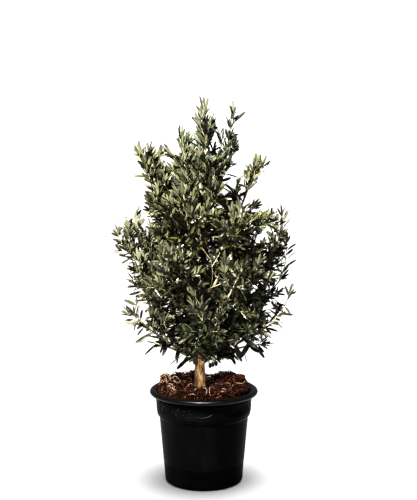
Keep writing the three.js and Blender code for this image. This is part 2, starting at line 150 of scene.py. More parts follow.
# Forked pale twigs that show through the front of the crown: root, bend, tip
SHOWING_TWIGS = np.array([
    ((10, -40, 530), (30, -100, 560), (21, -118, 628)),
    ((21, -118, 628), (4, -128, 650), (-20, -118, 688)),
    ((22, -116, 612), (40, -122, 640), (54, -118, 674)),
    ((-10, -40, 490), (-16, -90, 510), (0, -120, 552)),
    ((-1, -119, 550), (30, -126, 560), (68, -118, 578)),
    ((-120, -60, 480), (-152, -66, 490), (-179, -70, 501)),
    ((-4, -10, 352), (-16, -22, 372), (-34, -40, 408)),
    ((-4, -8, 352), (6, -20, 376), (10, -34, 420)),
], float)

# The sprays: the way each faces in degrees, its reach, its height, and the share of its limb that is bare
SPRAYS = [
    ("crest", 96, 5, 1012, 0),
    ("crest_right", 12, 80, 1002, 0),
    ("crest_left", 196, 62, 938, 0),
    ("crest_back", 82, 78, 930, 0),
    ("crest_front", 262, 74, 900, 0),
    ("shoulder_left", 176, 172, 902, 0),
    ("shoulder_right", -4, 142, 868, 0),
    ("shoulder_back", 112, 158, 842, 0),
    ("shoulder_front", 250, 150, 806, 0),
    ("high_right_front", 312, 170, 770, 0),
    ("high_back", 50, 178, 778, 0),
    ("middle_left", 184, 226, 690, 0.26),
    ("middle_right", 2, 214, 676, 0.26),
    ("middle_front_left", 240, 208, 654, 0.26),
    ("middle_front_right", 300, 204, 616, 0.26),
    ("middle_back_left", 122, 208, 668, 0.26),
    ("middle_back_right", 62, 206, 630, 0.26),
    ("low_left_back", 158, 216, 552, 0.26),
    ("low_left_front", 214, 220, 488, 0.26),
    ("low_front", 270, 200, 506, 0.26),
    ("low_right_front", 324, 216, 464, 0.26),
    ("low_right_back", 20, 234, 556, 0.26),
    ("low_back", 88, 204, 508, 0.26),
    ("skirt_left", 184, 156, 392, 0),
    ("skirt_right", 356, 160, 384, 0),
    ("skirt_front", 298, 112, 374, 0),
    ("inner_front", 256, 88, 478, 0),
    ("inner_left", 200, 84, 474, 0),
    ("inner_right", 352, 90, 474, 0),
    ("skirt_back", 118, 156, 396, 0),
]
TIERS = {
    "crest": ("crest",),
    "shoulder": ("shoulder", "high"),
    "middle": ("middle",),
    "low": ("low", "inner"),
    "skirt": ("skirt",),
}
# Sprays whose leaves are older and darker than their height gives, and, on the left, paler, as painted
# light from that side
PALER = {
    "crest": -0.65, "crest_right": -0.65, "crest_left": 0.15, "shoulder_left": 0.15, "middle_left": 0.1,
}
# Sprays that stand apart, with wider gaps between their twigs and leaves
THINNER = {
    "crest": 1.5, "crest_right": 1.6, "crest_left": 1.15, "shoulder_left": 1.1, "shoulder_right": 1.2,
}
# Limbs whose own leaves may stand out of the crown's edge
LEAFY_LIMBS = ("low_left_front",)
HEART = 0.72
LOWEST_RANK = 224
HIGHEST_RANK = 1007
RANK_POWER = 1.3
LOWEST_ROOT = 326
STAGGER = 8
BOW = 0.12
ARCHED_UNDER = 412
LIMB_RADIUS = 2.8
LIMB_RADIUS_PER_MM = 0.009
LIMB_TIP_RADIUS = 1.5

# The twigs that the solids have too
TWIG_GAP = 30
TWIG_LENGTH = 130
TWIG_ANGLE = 46
TWIG_LIFT = 0.24
TWIG_DROOP = 0.5
DROOP_UNDER = 540
TWIG_ROOM = 2.5
TWIG_AIR = 4

# The finer twigs, and the leaves, which are as long and as narrow as on the tree
FINE_GAP = 17
FINE_LENGTH = 78
FINE_ANGLE = 46
FINE_RADIUS = 1.1
FINE_OVERLAP = 14
STEM_SHOOT_GAP = 11
STEM_SHOOT_LENGTH = 120
PAIR_GAP = 8
STANDING_PAIR_GAP = 12.5
LEAF_LENGTH = 37
LEAF_SLIMNESS = 4.4
LEAF_OVERHANG = 16
TIP_LEAF_LENGTH = 38
# Heights over which the crown turns into its top, where shoots and leaves stand up, and into its foot
TOP_HEIGHTS = (640, 900)
FOOT_HEIGHTS = (470, 380)
LARGER_IN_TOP = 0.16
LARGER_AT_FOOT = 0.22
# Leaves are paler the higher they grow, partly as younger growth and partly as painted light from above,
# and paler the further left, as painted light from that side
PALENESS = (-0.12, 0.22)
PALENESS_HEIGHTS = (450, 950)

OLIVE_SPRAY = "skirt_front"
OLIVE_SHARES = (0.3, 0.42, 0.56)
OLIVE_LENGTH = 15
OLIVE_WIDTH = 9.5
OLIVE_STALK = np.array([9.0, -6.0, -16.0])


# Small sums

def lerp(low, high, share):
    return low + (high - low) * share


def smoothstep(value, low, high):
    share = np.clip((value - low) / (high - low), 0, 1)
    return share * share * (3 - 2 * share)


def unit(vectors):
    return vectors / np.linalg.norm(vectors, axis=-1, keepdims=True)


def chance(a, b, c):
    """A number from 0 to 1 that belongs to three counters, so that the tree grows the same each time."""
    wave = math.sin(a * 127.1 + b * 311.7 + c * 74.7) * 43758.5453
    return wave - math.floor(wave)


def linear(code):
    """An sRGB hex colour as the linear colour that a shader takes."""
    parts = [int(code[i:i + 2], 16) / 255 for i in (1, 3, 5)]
    return [c / 12.92 if c <= 0.04045 else ((c + 0.055) / 1.055) ** 2.4 for c in parts] + [1.0]


# Materials

SHADER_SOCKETS = {
    "base": "Base Color", "roughness": "Roughness", "ior": "IOR", "specular": "Specular IOR Level",
    "glow": "Emission Color", "glow_strength": "Emission Strength",
}


def add(tree, kind, inputs=None, gives=None, stops=(), **settings):
    """Adds a node with its settings, inputs, links and a ramp's stops, and returns an output."""
    node = tree.nodes.new(kind)
    for key, value in settings.items():
        setattr(node, key, value)
    for key, value in (inputs or {}).items():
        socket = next(own for own in node.inputs if own.enabled and own.name == key)
        if isinstance(value, bpy.types.NodeSocket):
            tree.links.new(value, socket)
        else:
            socket.default_value = value
    for number, (place, code) in enumerate(stops):
        ramp = node.color_ramp.elements
        element = ramp[number] if number < 2 else ramp.new(place)
        element.position = place
        element.color = linear(code)
    return next(own for own in node.outputs if own.enabled and gives in (None, own.name))


def material(name, pattern=None, **values):
    """A Principled material. A pattern makes its nodes and says which sockets they feed."""
    made = bpy.data.materials.new(name)
    made.use_nodes = True
    tree = made.node_tree
    sockets = tree.nodes["Principled BSDF"].inputs
    if pattern:
        for key, output in pattern(tree, add(tree, "ShaderNodeTexCoord", gives="Object")).items():
            tree.links.new(output, sockets[key])
    for key, value in values.items():
        sockets[SHADER_SOCKETS[key]].default_value = value
    return made


def mottled(stops, blots, grain=None, depth=0, strength=1, shine=None):
    """A skin coloured in blots, with its grain, or else the blots, raised by a depth in millimetres.

    Blots and grain are (size in millimetres, detail, roughness, squeeze in height). shine is how rough
    the shader is in the darkest and in the palest blots.
    """
    def pattern(tree, place):
        noises = []
        for size, detail, rough, squeeze in filter(None, (blots, grain)):
            spots = place
            if squeeze != 1:
                spots = add(tree, "ShaderNodeMapping", {"Vector": place, "Scale": (1, 1, squeeze)})
            noises.append(add(tree, "ShaderNodeTexNoise", {
                "Vector": spots, "Scale": 1 / (size * MM), "Detail": detail, "Roughness": rough}))
        fed = {"Base Color": add(tree, "ShaderNodeValToRGB", {"Fac": noises[0]}, stops=stops)}
        if depth:
            fed["Normal"] = add(tree, "ShaderNodeBump", {
                "Height": noises[-1], "Distance": depth * MM, "Strength": strength})
        if shine:
            fed["Roughness"] = add(tree, "ShaderNodeMapRange", {
                "Value": noises[0], "To Min": shine[0], "To Max": shine[1]})
        return fed
    return pattern


def leaf_blade(dark, pale):
    """A waxy blade, veined every 3 mm, whose dull green varies in blots of 34 mm, from leaf to leaf."""
    greens = [(0.36, dark), (0.64, pale)]
    return mottled(greens, (34, 5, 0.7, 1), (3, 2, 0.5, 1), depth=0.2, strength=0.6)


def torn_wood(dark, pale):
    """Chipped bark or wood, uneven and mottled every 4 mm, as its fibres tear."""
    return mottled([(0.36, dark), (0.64, pale)], (4, 6, 0.65, 1), depth=0.8)


def bark_humus(tree, place):
    # Composted bark: crumbs of 2 to 6 mm, from reddish brown to nearly black, and darkened behind the stem
    # by painted shade
    black = "#050302"
    browns = [(0.4, black), (0.52, "#1F0E08"), (0.64, "#47220F")]
    fed = mottled(browns, (5, 8, 0.7, 1), (2.5, 6, 0.5, 1), depth=2.5)(tree, place)
    # Painted shade: further back behind the stem the compost is mixed towards black
    back = add(tree, "ShaderNodeSeparateXYZ", {"Vector": place}, "Y")
    painted_shade = add(tree, "ShaderNodeMapRange", {
        "Value": back, "From Min": PAINTED_SHADE_FROM * MM, "From Max": PAINTED_SHADE_TO * MM, "To Max": PAINTED_SHADE_SHARE})
    fed["Base Color"] = add(tree, "ShaderNodeMix", {
        "Factor": painted_shade, "A": fed["Base Color"], "B": linear(black)}, data_type="RGBA")
    return fed


# Injection-moulded skin: a grain of 0.4 mm, drawn at 1.4 mm so that it shows, under dusty wipe marks
moulded_blacks = [(0.44, "#050506"), (0.66, "#080909"), (0.8, "#111110")]
moulded_skin = mottled(moulded_blacks, (36, 7, 0.5, 0.3), (1.4, 2, 0.5, 1), depth=0.15, strength=0.6,
                       shine=(0.34, 0.5))
polypropylene = material("moulded_polypropylene", moulded_skin, ior=1.49, specular=0.04)
# The mould's lower band: blacker than the wall, as painted shade below the step, and without grain, with
# wipe marks 50 mm long
band_skin_painted_shade = mottled([(0.4, "#020202"), (0.75, "#060606")], (50, 5, 0.5, 3), shine=(0.4, 0.6))
band_plastic_painted_shade = material("band_polypropylene_painted_shade", band_skin_painted_shade, ior=1.49, specular=0.03)
# A rim and ornament rubbed by hands: satin, scuffed in patches of 14 mm
rubbed_skin = mottled([(0.4, "#060606"), (0.7, "#0C0C0B")], (14, 6, 0.5, 1), (1.4, 2, 0.5, 1),
                      depth=0.1, strength=0.5, shine=(0.28, 0.42))
rim_plastic = material("rolled_polypropylene", rubbed_skin, ior=1.49, specular=0.35)
raised_plastic = material("raised_polypropylene", rubbed_skin, ior=1.49, specular=0.1)
# Smooth young bark: pale ochre with brown scars of 15 mm and a fine grain along the stem
ochres = [(0.38, "#33261A"), (0.45, "#6B5236"), (0.52, "#8F7553"), (0.59, "#B09B7B"), (0.7, "#CABBA2")]
smooth_bark = mottled(ochres, (15, 8, 0.65, 0.4), (2.2, 4, 0.5, 0.4), depth=0.7)
olive_bark = material("young_olive_bark", smooth_bark, roughness=0.85, specular=0.25)
# Bark of twigs a few years old: straw-grey, greener in patches of 30 mm
thin_bark = mottled([(0.36, "#5E5543"), (0.52, "#8C8169"), (0.7, "#B1A78E")], (30, 6, 0.5, 1), depth=0.4)
twig_bark = material("olive_twig_bark", thin_bark, roughness=0.8, specular=0.3)
# A ripening olive: purple-black skin, dulled by bloom in patches of 6 mm
bloomed_skin = mottled([(0.4, "#0E0A10"), (0.7, "#2B2433")], (6, 3, 0.5, 1), shine=(0.25, 0.5))
olive_skin = material("olive_skin", bloomed_skin, specular=0.5)
bark_compost = material("bark_compost", bark_humus, roughness=0.95, specular=0.05)
# Torn bark, wood straw and bleached root, from nearly black to straw
chip_woods = [
    material(name, torn_wood(dark, pale), roughness=rough, specular=gloss)
    for name, dark, pale, rough, gloss in (
        ("bark_chip_dark", "#070403", "#1A0D09", 0.9, 0.08),
        ("bark_chip_red", "#1C0A05", "#42200F", 0.9, 0.08),
        ("bark_chip_pale", "#3A261B", "#6B4E3D", 0.9, 0.08),
        ("wood_straw", "#64503F", "#A8917A", 0.85, 0.2),
        ("bleached_root", "#7E6C57", "#AFA088", 0.85, 0.2),
    )
]
# The darkest and the palest green of old, grown, pale, young and shaded leaves: bluer in the crest, where
# they are dusted with scales, and yellower and paler on the shoulders, as painted sunlight
LEAF_GREENS = {
    "crest": [("#0C1210", "#1C2522"), ("#181D13", "#303627"), ("#282C1C", "#434732"),
              ("#363A28", "#52563F"), ("#121B0A", "#27341A")],
    "shoulder": [("#131508", "#292A16"), ("#1E1F0E", "#39391F"), ("#2A2A18", "#46452B"),
                 ("#373722", "#535238"), ("#171B07", "#303714")],
    "middle": [("#101309", "#242517"), ("#1A1C0F", "#323320"), ("#262718", "#40402B"),
               ("#343421", "#4E4D35"), ("#131905", "#2C3411")],
    "low": [("#0E120A", "#212418"), ("#171A10", "#2F3121"), ("#232518", "#3C3E2C"),
            ("#313322", "#4A4C35"), ("#121805", "#2A320F")],
}
LEAF_GREENS["skirt"] = LEAF_GREENS["low"]
# The shader's roughness at each age, and the places of two of them in that order
LEAF_GLOSS = {"old": 0.36, "grown": 0.38, "pale": 0.42, "young": 0.45, "shaded": 0.36}
YOUNG = 3
SHADED = 4
leaf_tops = {
    tier: [
        material(f"olive_leaf_{age}_{tier}", leaf_blade(*greens), roughness=gloss, specular=0.4)
        for (age, gloss), greens in zip(LEAF_GLOSS.items(), tier_greens)
    ]
    for tier, tier_greens in LEAF_GREENS.items()
}
# The silver undersides of a leaf, and of a young one
leaf_unders = [
    material("olive_leaf_silver", leaf_blade("#404032", "#5C5B49"), roughness=0.75, specular=0.3),
    material("olive_leaf_silver_young", leaf_blade("#464634", "#63624B"), roughness=0.75, specular=0.3),
]


# Meshes from arrays

def put_in_scene(name, data):
    """An object of the scene that holds a mesh, a lamp or a camera."""
    made = bpy.data.objects.new(name, data)
    bpy.context.scene.collection.objects.link(made)
    return made


class Pile:
    """Shapes gathered into one mesh: their points, and rows of corners with a paint number each."""

    def __init__(self):
        self.points = []
        self.rows = []
        self.paints = []
        self.count = 0

    def put(self, points, rows, paint=0):
        """points is (n, 3) or, for many alike shapes, (m, n, 3); rows are arrays of corner numbers."""
        points = np.asarray(points, float)
        many = points.reshape(-1, points.shape[-2], 3)
        offsets = self.count + np.arange(len(many)) * many.shape[1]
        for number, row in enumerate(rows):
            row = np.asarray(row)
            self.rows.append((row[None] + offsets[:, None, None]).reshape(-1, row.shape[1]))
            own = paint[number] if isinstance(paint, list) else paint
            self.paints.append(np.repeat(np.broadcast_to(own, len(many)), len(row)))
        self.points.append(many.reshape(-1, 3))
        self.count += many.shape[0] * many.shape[1]

    def piece(self, name, materials, slot, stands_for=(), sharp=40):
        """The mesh as a piece of the tree, smooth but for edges sharper than that many degrees."""
        mesh = bpy.data.meshes.new(name)
        corners = np.concatenate([row.ravel() for row in self.rows])
        sizes = np.concatenate([np.full(len(row), row.shape[1]) for row in self.rows])
        starts = np.concatenate([[0], np.cumsum(sizes)[:-1]])
        mesh.vertices.add(self.count)
        mesh.vertices.foreach_set("co", (np.concatenate(self.points) * MM).ravel())
        mesh.loops.add(len(corners))
        mesh.loops.foreach_set("vertex_index", corners.astype(np.int32))
        mesh.polygons.add(len(sizes))
        mesh.polygons.foreach_set("loop_start", starts.astype(np.int32))
        mesh.polygons.foreach_set("material_index", np.concatenate(self.paints).astype(np.int32))
        mesh.update(calc_edges=True)
        mesh.validate()
        mesh.shade_smooth()
        mesh.set_sharp_from_angle(angle=math.radians(sharp))
        for own in materials:
            mesh.materials.append(own)
        made = put_in_scene(name, mesh)
        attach(made, "root")
        if stands_for:
            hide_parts(*stands_for)
        return made


def circle(sides):
    """The corners of a circle of radius 1, as (x, y)."""
    angles = np.arange(sides) * 2 * math.pi / sides
    return np.stack([np.cos(angles), np.sin(angles)], -1)


def ring_rows(rings, sides, closed=False):
    """The four-cornered faces between rings of that many corners, closed back to the first or not."""
    ring, side = np.meshgrid(np.arange(rings if closed else rings - 1), np.arange(sides), indexing="ij")
    near, far = ring * sides, (ring + 1) % rings * sides
    after = (side + 1) % sides
    return np.stack([near + side, near + after, far + after, far + side], -1).reshape(-1, 4)


def tube_rows(rings, sides):
    """The faces of a tube closed by a cap at each end."""
    last = (rings - 1) * sides
    caps = np.array([np.arange(sides)[::-1], last + np.arange(sides)])
    return [ring_rows(rings, sides), caps]


def rings_along(places, across, over, sides, radii=1):
    """The rings of a tube: round each place, by two directions there, as far out as radii say."""
    x, y = circle(sides).T
    ring = x[None, :, None] * across[:, None] + y[None, :, None] * over[:, None]
    return (places[:, None] + ring * radii).reshape(-1, 3)


def rings_round_axis(section, sides):
    """The rings that a section of (radius, height) makes when it is turned about the axis."""
    section = np.array(section, float)
    flat = section[:, None, :1] * circle(sides)[None]
    return np.concatenate([flat, np.repeat(section[:, None, 1:], sides, 1)], -1).reshape(-1, 3)


def turned(pile, profile, sides):
    """Turns a profile of (radius, height) that starts and ends on the axis."""
    rings = rings_round_axis(profile[1:-1], sides)
    ends = np.array([[0, 0, profile[0][1]], [0, 0, profile[-1][1]]])
    foot, top = len(rings), len(rings) + 1
    side = np.arange(sides)
    after = (side + 1) % sides
    last = foot - sides
    fans = np.concatenate([
        np.stack([np.full(sides, foot), after, side], -1),
        np.stack([last + side, last + after, np.full(sides, top)], -1),
    ])
    pile.put(np.concatenate([rings, ends]), [ring_rows(foot // sides, sides), fans])


# The pot

WALL_HEIGHTS = (90, 140, COLLAR_FOOT - 4, COLLAR_FOOT)
SHOULDER_HEIGHTS = np.linspace(COLLAR_FOOT, COLLAR_SHOULDER, 7)[1:]
# Fine raised lines round the collar: the height of each, and how proud it stands
BEADS = ((200, 0.7), (206, 0.7), (236.7, 0.8))
# A bead's section: how far up from its middle, and the share of its proudness there
BEAD_SECTION = ((-1.2, 0), (-0.6, 0.7), (0, 1), (0.6, 0.7), (1.2, 0))
# How far the rim is rolled in under itself, in degrees
LIP_ANGLE = -50
# Edges that turn by fewer degrees than this look round
ROUND_EDGE = 50

# The scrolls: a spiral's centre along and up the collar, its first and last angle and radius, its width
SCROLLS = (
    ((37, 224), 200, 560, 7.5, 2, 2.0),
    ((56, 218), 150, -190, 8, 2.5, 2.0),
    ((76, 221), 90, 450, 9.5, 9.5, 2.2),
    ((76, 221), 0, 360, 4.5, 4, 2.6),
    ((93, 217), 170, -150, 6.5, 1.8, 1.8),
    ((88, 231), 200, 20, 7, 4, 1.8),
    ((64, 230), 210, 10, 6, 5, 1.8),
)
SCROLL_PROUD = 0.9
SCROLL_STEPS = 22
RIB_SIDES = 8


def outer_radius(height):
    if height <= COLLAR_FOOT:
        return BODY_RADIUS + BODY_TAPER * height
    if height <= COLLAR_SHOULDER:
        share = (height - COLLAR_FOOT) / (COLLAR_SHOULDER - COLLAR_FOOT)
        return lerp(outer_radius(COLLAR_FOOT), COLLAR_RADIUS, smoothstep(share, 0, 1))
    share = (height - COLLAR_SHOULDER) / (COLLAR_TOP - COLLAR_SHOULDER)
    return lerp(COLLAR_RADIUS, COLLAR_TOP_RADIUS, share)


def inner_radius(height):
    return outer_radius(height) - POT_WALL


def arc(centre, half_width, half_height, start, stop, steps):
    x, y = centre
    angles = np.radians(np.linspace(start, stop, steps + 1))
    return [(x + half_width * math.cos(a), y + half_height * math.sin(a)) for a in angles]


def make_pot():
    foot = (BODY_RADIUS - FOOT_CORNER + 0.7, FOOT_CORNER)
    in_collar = inner_radius(COLLAR_TOP) + 0.2
    beads = [
        (outer_radius(height + up) + out * proud, height + up)
        for height, proud in BEADS for up, out in BEAD_SECTION
    ]
    profile = [
        (0, 0),
        (FOOT_RADIUS - 6, 0),
        *arc(foot, FOOT_CORNER, FOOT_CORNER, -70, 0, 7),
        (outer_radius(BAND_TOP - 6) - BAND_STEP, BAND_TOP - 6),
        (outer_radius(BAND_TOP - 4) - BAND_STEP * 0.7, BAND_TOP - 4),
        (outer_radius(BAND_TOP), BAND_TOP),
        *[(outer_radius(h), h) for h in (*WALL_HEIGHTS, *SHOULDER_HEIGHTS)],
        *beads,
        (outer_radius(COLLAR_TOP), COLLAR_TOP),
        (outer_radius(COLLAR_TOP), COLLAR_TOP + RIM_LAP),
        (in_collar, COLLAR_TOP + RIM_LAP),
        (in_collar, COLLAR_TOP),
        *[(inner_radius(h), h) for h in (COLLAR_SHOULDER, COLLAR_FOOT, FOOT_CORNER)],
        (inner_radius(FOOT_CORNER) - 3, POT_FLOOR),
        (0, POT_FLOOR),
    ]
    pile = Pile()
    turned(pile, profile, POT_SIDES)
    heights = pile.points[0][:, 2]
    # Faces below the band's step take the blacker band material: painted shade
    for rows, paints in zip(pile.rows, pile.paints):
        paints[(heights[rows] < BAND_TOP - 1).all(1)] = 1
    return pile.piece("pot_shell", [polypropylene, band_plastic_painted_shade], "pot", ["pot"], sharp=ROUND_EDGE)


def make_rim():
    """The rim, rolled outwards and down from the top of the collar."""
    roll = (RIM_RADIUS - ROLL_HALF_WIDTH, POT_HEIGHT - ROLL_HALF_HEIGHT)
    section = [
        (outer_radius(COLLAR_TOP), COLLAR_TOP),
        *arc(roll, ROLL_HALF_WIDTH - POT_WALL, ROLL_HALF_HEIGHT - POT_WALL, 155, LIP_ANGLE, 14),
        *arc(roll, ROLL_HALF_WIDTH, ROLL_HALF_HEIGHT, LIP_ANGLE, 180, 22),
        (inner_radius(COLLAR_TOP), COLLAR_TOP),
    ]
    pile = Pile()
    pile.put(rings_round_axis(section, POT_SIDES), [ring_rows(len(section), POT_SIDES, closed=True)])
    return pile.piece("pot_rim", [rim_plastic], "pot", ["pot"], sharp=ROUND_EDGE)


def spiral(centre, start, stop, outside, inside):
    """Points of a spiral on the unrolled collar, (along, height)."""
    shares = np.linspace(0, 1, SCROLL_STEPS)
    angles = np.radians(lerp(start, stop, shares))
    radii = lerp(outside, inside, shares)
    return np.stack([centre[0] + radii * np.cos(angles), centre[1] + radii * np.sin(angles)], -1)


def raised_line(pile, points, width, proud, middle):
    """A raised rib that follows points on the unrolled collar, round the pot from its middle angle."""
    radii = np.array([outer_radius(h) for h in points[:, 1]])
    angles = points[:, 0] / COLLAR_TOP_RADIUS + middle
    out = np.stack([np.sin(angles), -np.cos(angles), np.zeros(len(points))], -1)
    places = out * radii[:, None] + UP * points[:, 1:]
    aside = unit(np.cross(unit(np.gradient(places, axis=0)), out))
    taper = np.sin(np.linspace(0.12, math.pi - 0.12, len(points)))[:, None] ** 0.4
    rings = rings_along(places, aside * width / 2 * taper, -out * proud * taper, RIB_SIDES)
    pile.put(rings, tube_rows(len(points), RIB_SIDES))


def make_ornament():
    """Moulded scrolls round the collar: a plain shield between pairs of curls, four times round."""
    pile = Pile()
    shares = np.linspace(0, 1, 25)
    smile = np.stack([lerp(-33, 23, shares), 208.5 + 9 * (2 * shares - 1) ** 2], -1)
    lid = np.stack([lerp(-29, 29, shares), 233 - 2.5 * np.cos((2 * shares - 1) * math.pi) ** 2], -1)
    for turn in range(4):
        middle = turn * math.pi / 2
        raised_line(pile, smile, 2.6, 1.0, middle)
        raised_line(pile, lid, 2.0, SCROLL_PROUD, middle)
        for side in (-1, 1):
            for *shape, width in SCROLLS:
                raised_line(pile, spiral(*shape) * (side, 1), width, SCROLL_PROUD, middle)
    return pile.piece("pot_ornament", [raised_plastic], "pot", sharp=60)


# The compost

SOIL_REACH = RIM_RADIUS - 2 * ROLL_HALF_WIDTH
SOIL_GAP = 0.3
SOIL_RINGS = 60
SOIL_SIDES = 180
# How far out loose things are strewn, how far out a strand may end, and how near to the stem they lie
SCATTER_REACH = 127
STRAND_REACH = 126
CLEAR_OF_STEM = 19
# The heap of straw and pale chips on the left: its middle, and how wide and deep it is
STRAW_HEAP = (-94, -2, 32, 46)
CHIPS = 2600
CHIP_TILT = 0.42
# How many of the chips are dark, red, pale and of straw, all over and in the straw heap
CHIP_SHARES = (0.5, 0.43, 0.06, 0.01)
STRAW_SHARES = (0.36, 0.36, 0.18, 0.1)
CHIP_CORNERS = np.radians([20, 75, 150, 200, 260, 325])
# The red flake that stands on its edge at the right: its place, its outline and its thickness
FLAKE_PLACE = (104, 18)
FLAKE = np.array([[-11, 0, -2], [10, -3, -1], [12, -2, 9], [3, 1, 12], [-9, 2, 8]], float)
FLAKE_THICKNESS = 3
STRANDS = 900
STRAND_STEPS = 7
# Two bleached roots curve towards the front, and a third lies under the red flake
BLEACHED_ROOTS = (
    [(-3, -32), (5, -55), (10, -84), (6, -118)],
    [(26, -26), (18, -55), (15, -84), (18, -118)],
    [(88, -6), (99, -12), (110, -8), (116, 6)],
)
ROOT_STEPS = 12


def soil_height(x, y):
    inwards = smoothstep(1 - np.hypot(x, y) / inner_radius(COLLAR_TOP), 0, EDGE_SLOPE)
    height = lerp(SOIL_EDGE, GROUND, inwards)
    for heap_x, heap_y, high, wide in HEAPS:
        away = np.hypot(x - heap_x, y - heap_y) / wide
        height = height + high * np.exp(-away * away) * lerp(0.35, 1, inwards)
    height = height + 2.4 * np.sin(x * 0.11 + y * 0.07) * np.cos(y * 0.13 - x * 0.05) * inwards
    from_stem = np.hypot(x - STEM_FOOT[0], y - STEM_FOOT[1])
    return lerp(GROUND, height, smoothstep(from_stem, LEVEL_ROUND_STEM, 2 * LEVEL_ROUND_STEM))


def make_soil():
    edge = SOIL_REACH - 0.6
    foot = POT_FLOOR + SOIL_GAP
    heights = (FOOT_CORNER + 1, COLLAR_FOOT, COLLAR_SHOULDER, COLLAR_TOP - 6)
    walls = [(inner_radius(h) - SOIL_GAP, h) for h in heights]
    top = [(edge * share, SOIL_EDGE) for share in np.linspace(1, 0, SOIL_RINGS + 1)]
    pile = Pile()
    turned(pile, [(0, foot), (inner_radius(FOOT_CORNER) - 3.3, foot), *walls, *top], SOIL_SIDES)
    points = pile.points[0]
    lying = points[:, 2] >= SOIL_EDGE - 1
    x, y = points[lying, 0], points[lying, 1]
    crumbs = np.array([
        3.2 * noise.noise(Vector((a, b, 3)) / 9) + 1.8 * noise.noise(Vector((a, b, 8)) / 3.5)
        for a, b in zip(x, y)
    ])
    from_stem = np.hypot(x - STEM_FOOT[0], y)
    calm = smoothstep(np.hypot(x, y), edge, edge - 8) * smoothstep(from_stem, 14, 24)
    points[lying, 2] = soil_height(x, y) + crumbs * calm
    return pile.piece("compost", [bark_compost], "soil", ["soil"], sharp=180)


def left_heap(x, y):
    """How much a place belongs to the heap of straw and pale chips on the left."""
    middle_x, middle_y, wide, deep = STRAW_HEAP
    return np.exp(-(((x - middle_x) / wide) ** 2 + ((y - middle_y) / deep) ** 2))


def scatter(rng, count, share, heaped=0.0):
    """Places on the compost, of which a share stays, and a larger share in the straw heap."""
    angle = rng.uniform(0, 2 * math.pi, count)
    radius = SCATTER_REACH * np.sqrt(rng.uniform(0.015, 1, count))
    x, y = radius * np.cos(angle), radius * np.sin(angle)
    stay = rng.uniform(0, 1, count) < share + heaped * left_heap(x, y)
    stay &= np.hypot(x - STEM_FOOT[0], y) > CLEAR_OF_STEM
    return x[stay], y[stay]


def turns(rng, count, tilt):
    """Axes of chips that lie flat but for a tilt: along, across and up, each (count, 3)."""
    spin = rng.uniform(0, 2 * math.pi, count)
    lean = rng.normal(0, tilt, (count, 2))
    along = unit(np.stack([np.cos(spin), np.sin(spin), lean[:, 0]], -1))
    rough_up = np.stack([-np.sin(spin) * lean[:, 1], np.cos(spin) * lean[:, 1], np.ones(count)], -1)
    across = unit(np.cross(rough_up, along))
    return along, across, np.cross(along, across)


def make_chips():
    """Chips of bark: six-sided flakes, torn and lying every way."""
    rng = np.random.default_rng(11)
    pile = Pile()
    x, y = scatter(rng, CHIPS, 0.75)
    count = len(x)
    along, across, up = turns(rng, count, CHIP_TILT)
    long = rng.gamma(3, 1.7, count) + 3
    wide = long * rng.uniform(0.25, 0.6, count)
    straw = rng.uniform(0, 1, count) < left_heap(x, y) * 0.95
    wide[straw] *= 0.5
    thick = rng.uniform(0.7, 2.2, count)
    fits = np.hypot(x, y) + long / 2 < SOIL_REACH - 2
    jitter = rng.uniform(0.75, 1.2, (count, 6))
    flat = (along[:, None] * (np.cos(CHIP_CORNERS) * jitter * long[:, None] / 2)[..., None]
            + across[:, None] * (np.sin(CHIP_CORNERS) * jitter * wide[:, None] / 2)[..., None])
    middle = np.stack([x, y, soil_height(x, y) + rng.uniform(-0.3, 2.6, count)], -1)[:, None]
    lid = middle + flat + (up * thick[:, None])[:, None]
    points = np.concatenate([middle + flat * 0.92, lid], 1)
    paint = rng.choice(4, count, p=CHIP_SHARES)
    paint[straw] = rng.choice(4, straw.sum(), p=STRAW_SHARES)
    # Chips behind the stem take the darkest bark, as painted shade
    painted_shade = rng.uniform(0, 1, count) < 0.94 * smoothstep(y, PAINTED_SHADE_FROM, PAINTED_SHADE_TO)
    paint[painted_shade] = 0
    pile.put(points[fits], tube_rows(2, 6), paint[fits])
    half = np.array([0, FLAKE_THICKNESS / 2, 0])
    flake = np.concatenate([FLAKE - half, FLAKE + half]) + (*FLAKE_PLACE, soil_height(*FLAKE_PLACE))
    pile.put(flake, tube_rows(2, len(FLAKE)), 1)
    return pile.piece("bark_chips", chip_woods, "soil", sharp=30)


def strand(pile, flat, lift, radius, paint, sides=4):
    """A thin closed tube along places on the compost, lifted off it and tapered to its ends."""
    path = np.column_stack([flat, soil_height(*flat.T) + lift])
    along = unit(np.gradient(path, axis=0))
    aside = unit(np.cross(along, UP + 0.01))
    thin = radius * np.sin(np.linspace(0.35, math.pi - 0.35, len(path)))[:, None]
    rings = rings_along(path, aside * thin, np.cross(along, aside) * thin, sides)
    pile.put(rings, tube_rows(len(path), sides), paint)


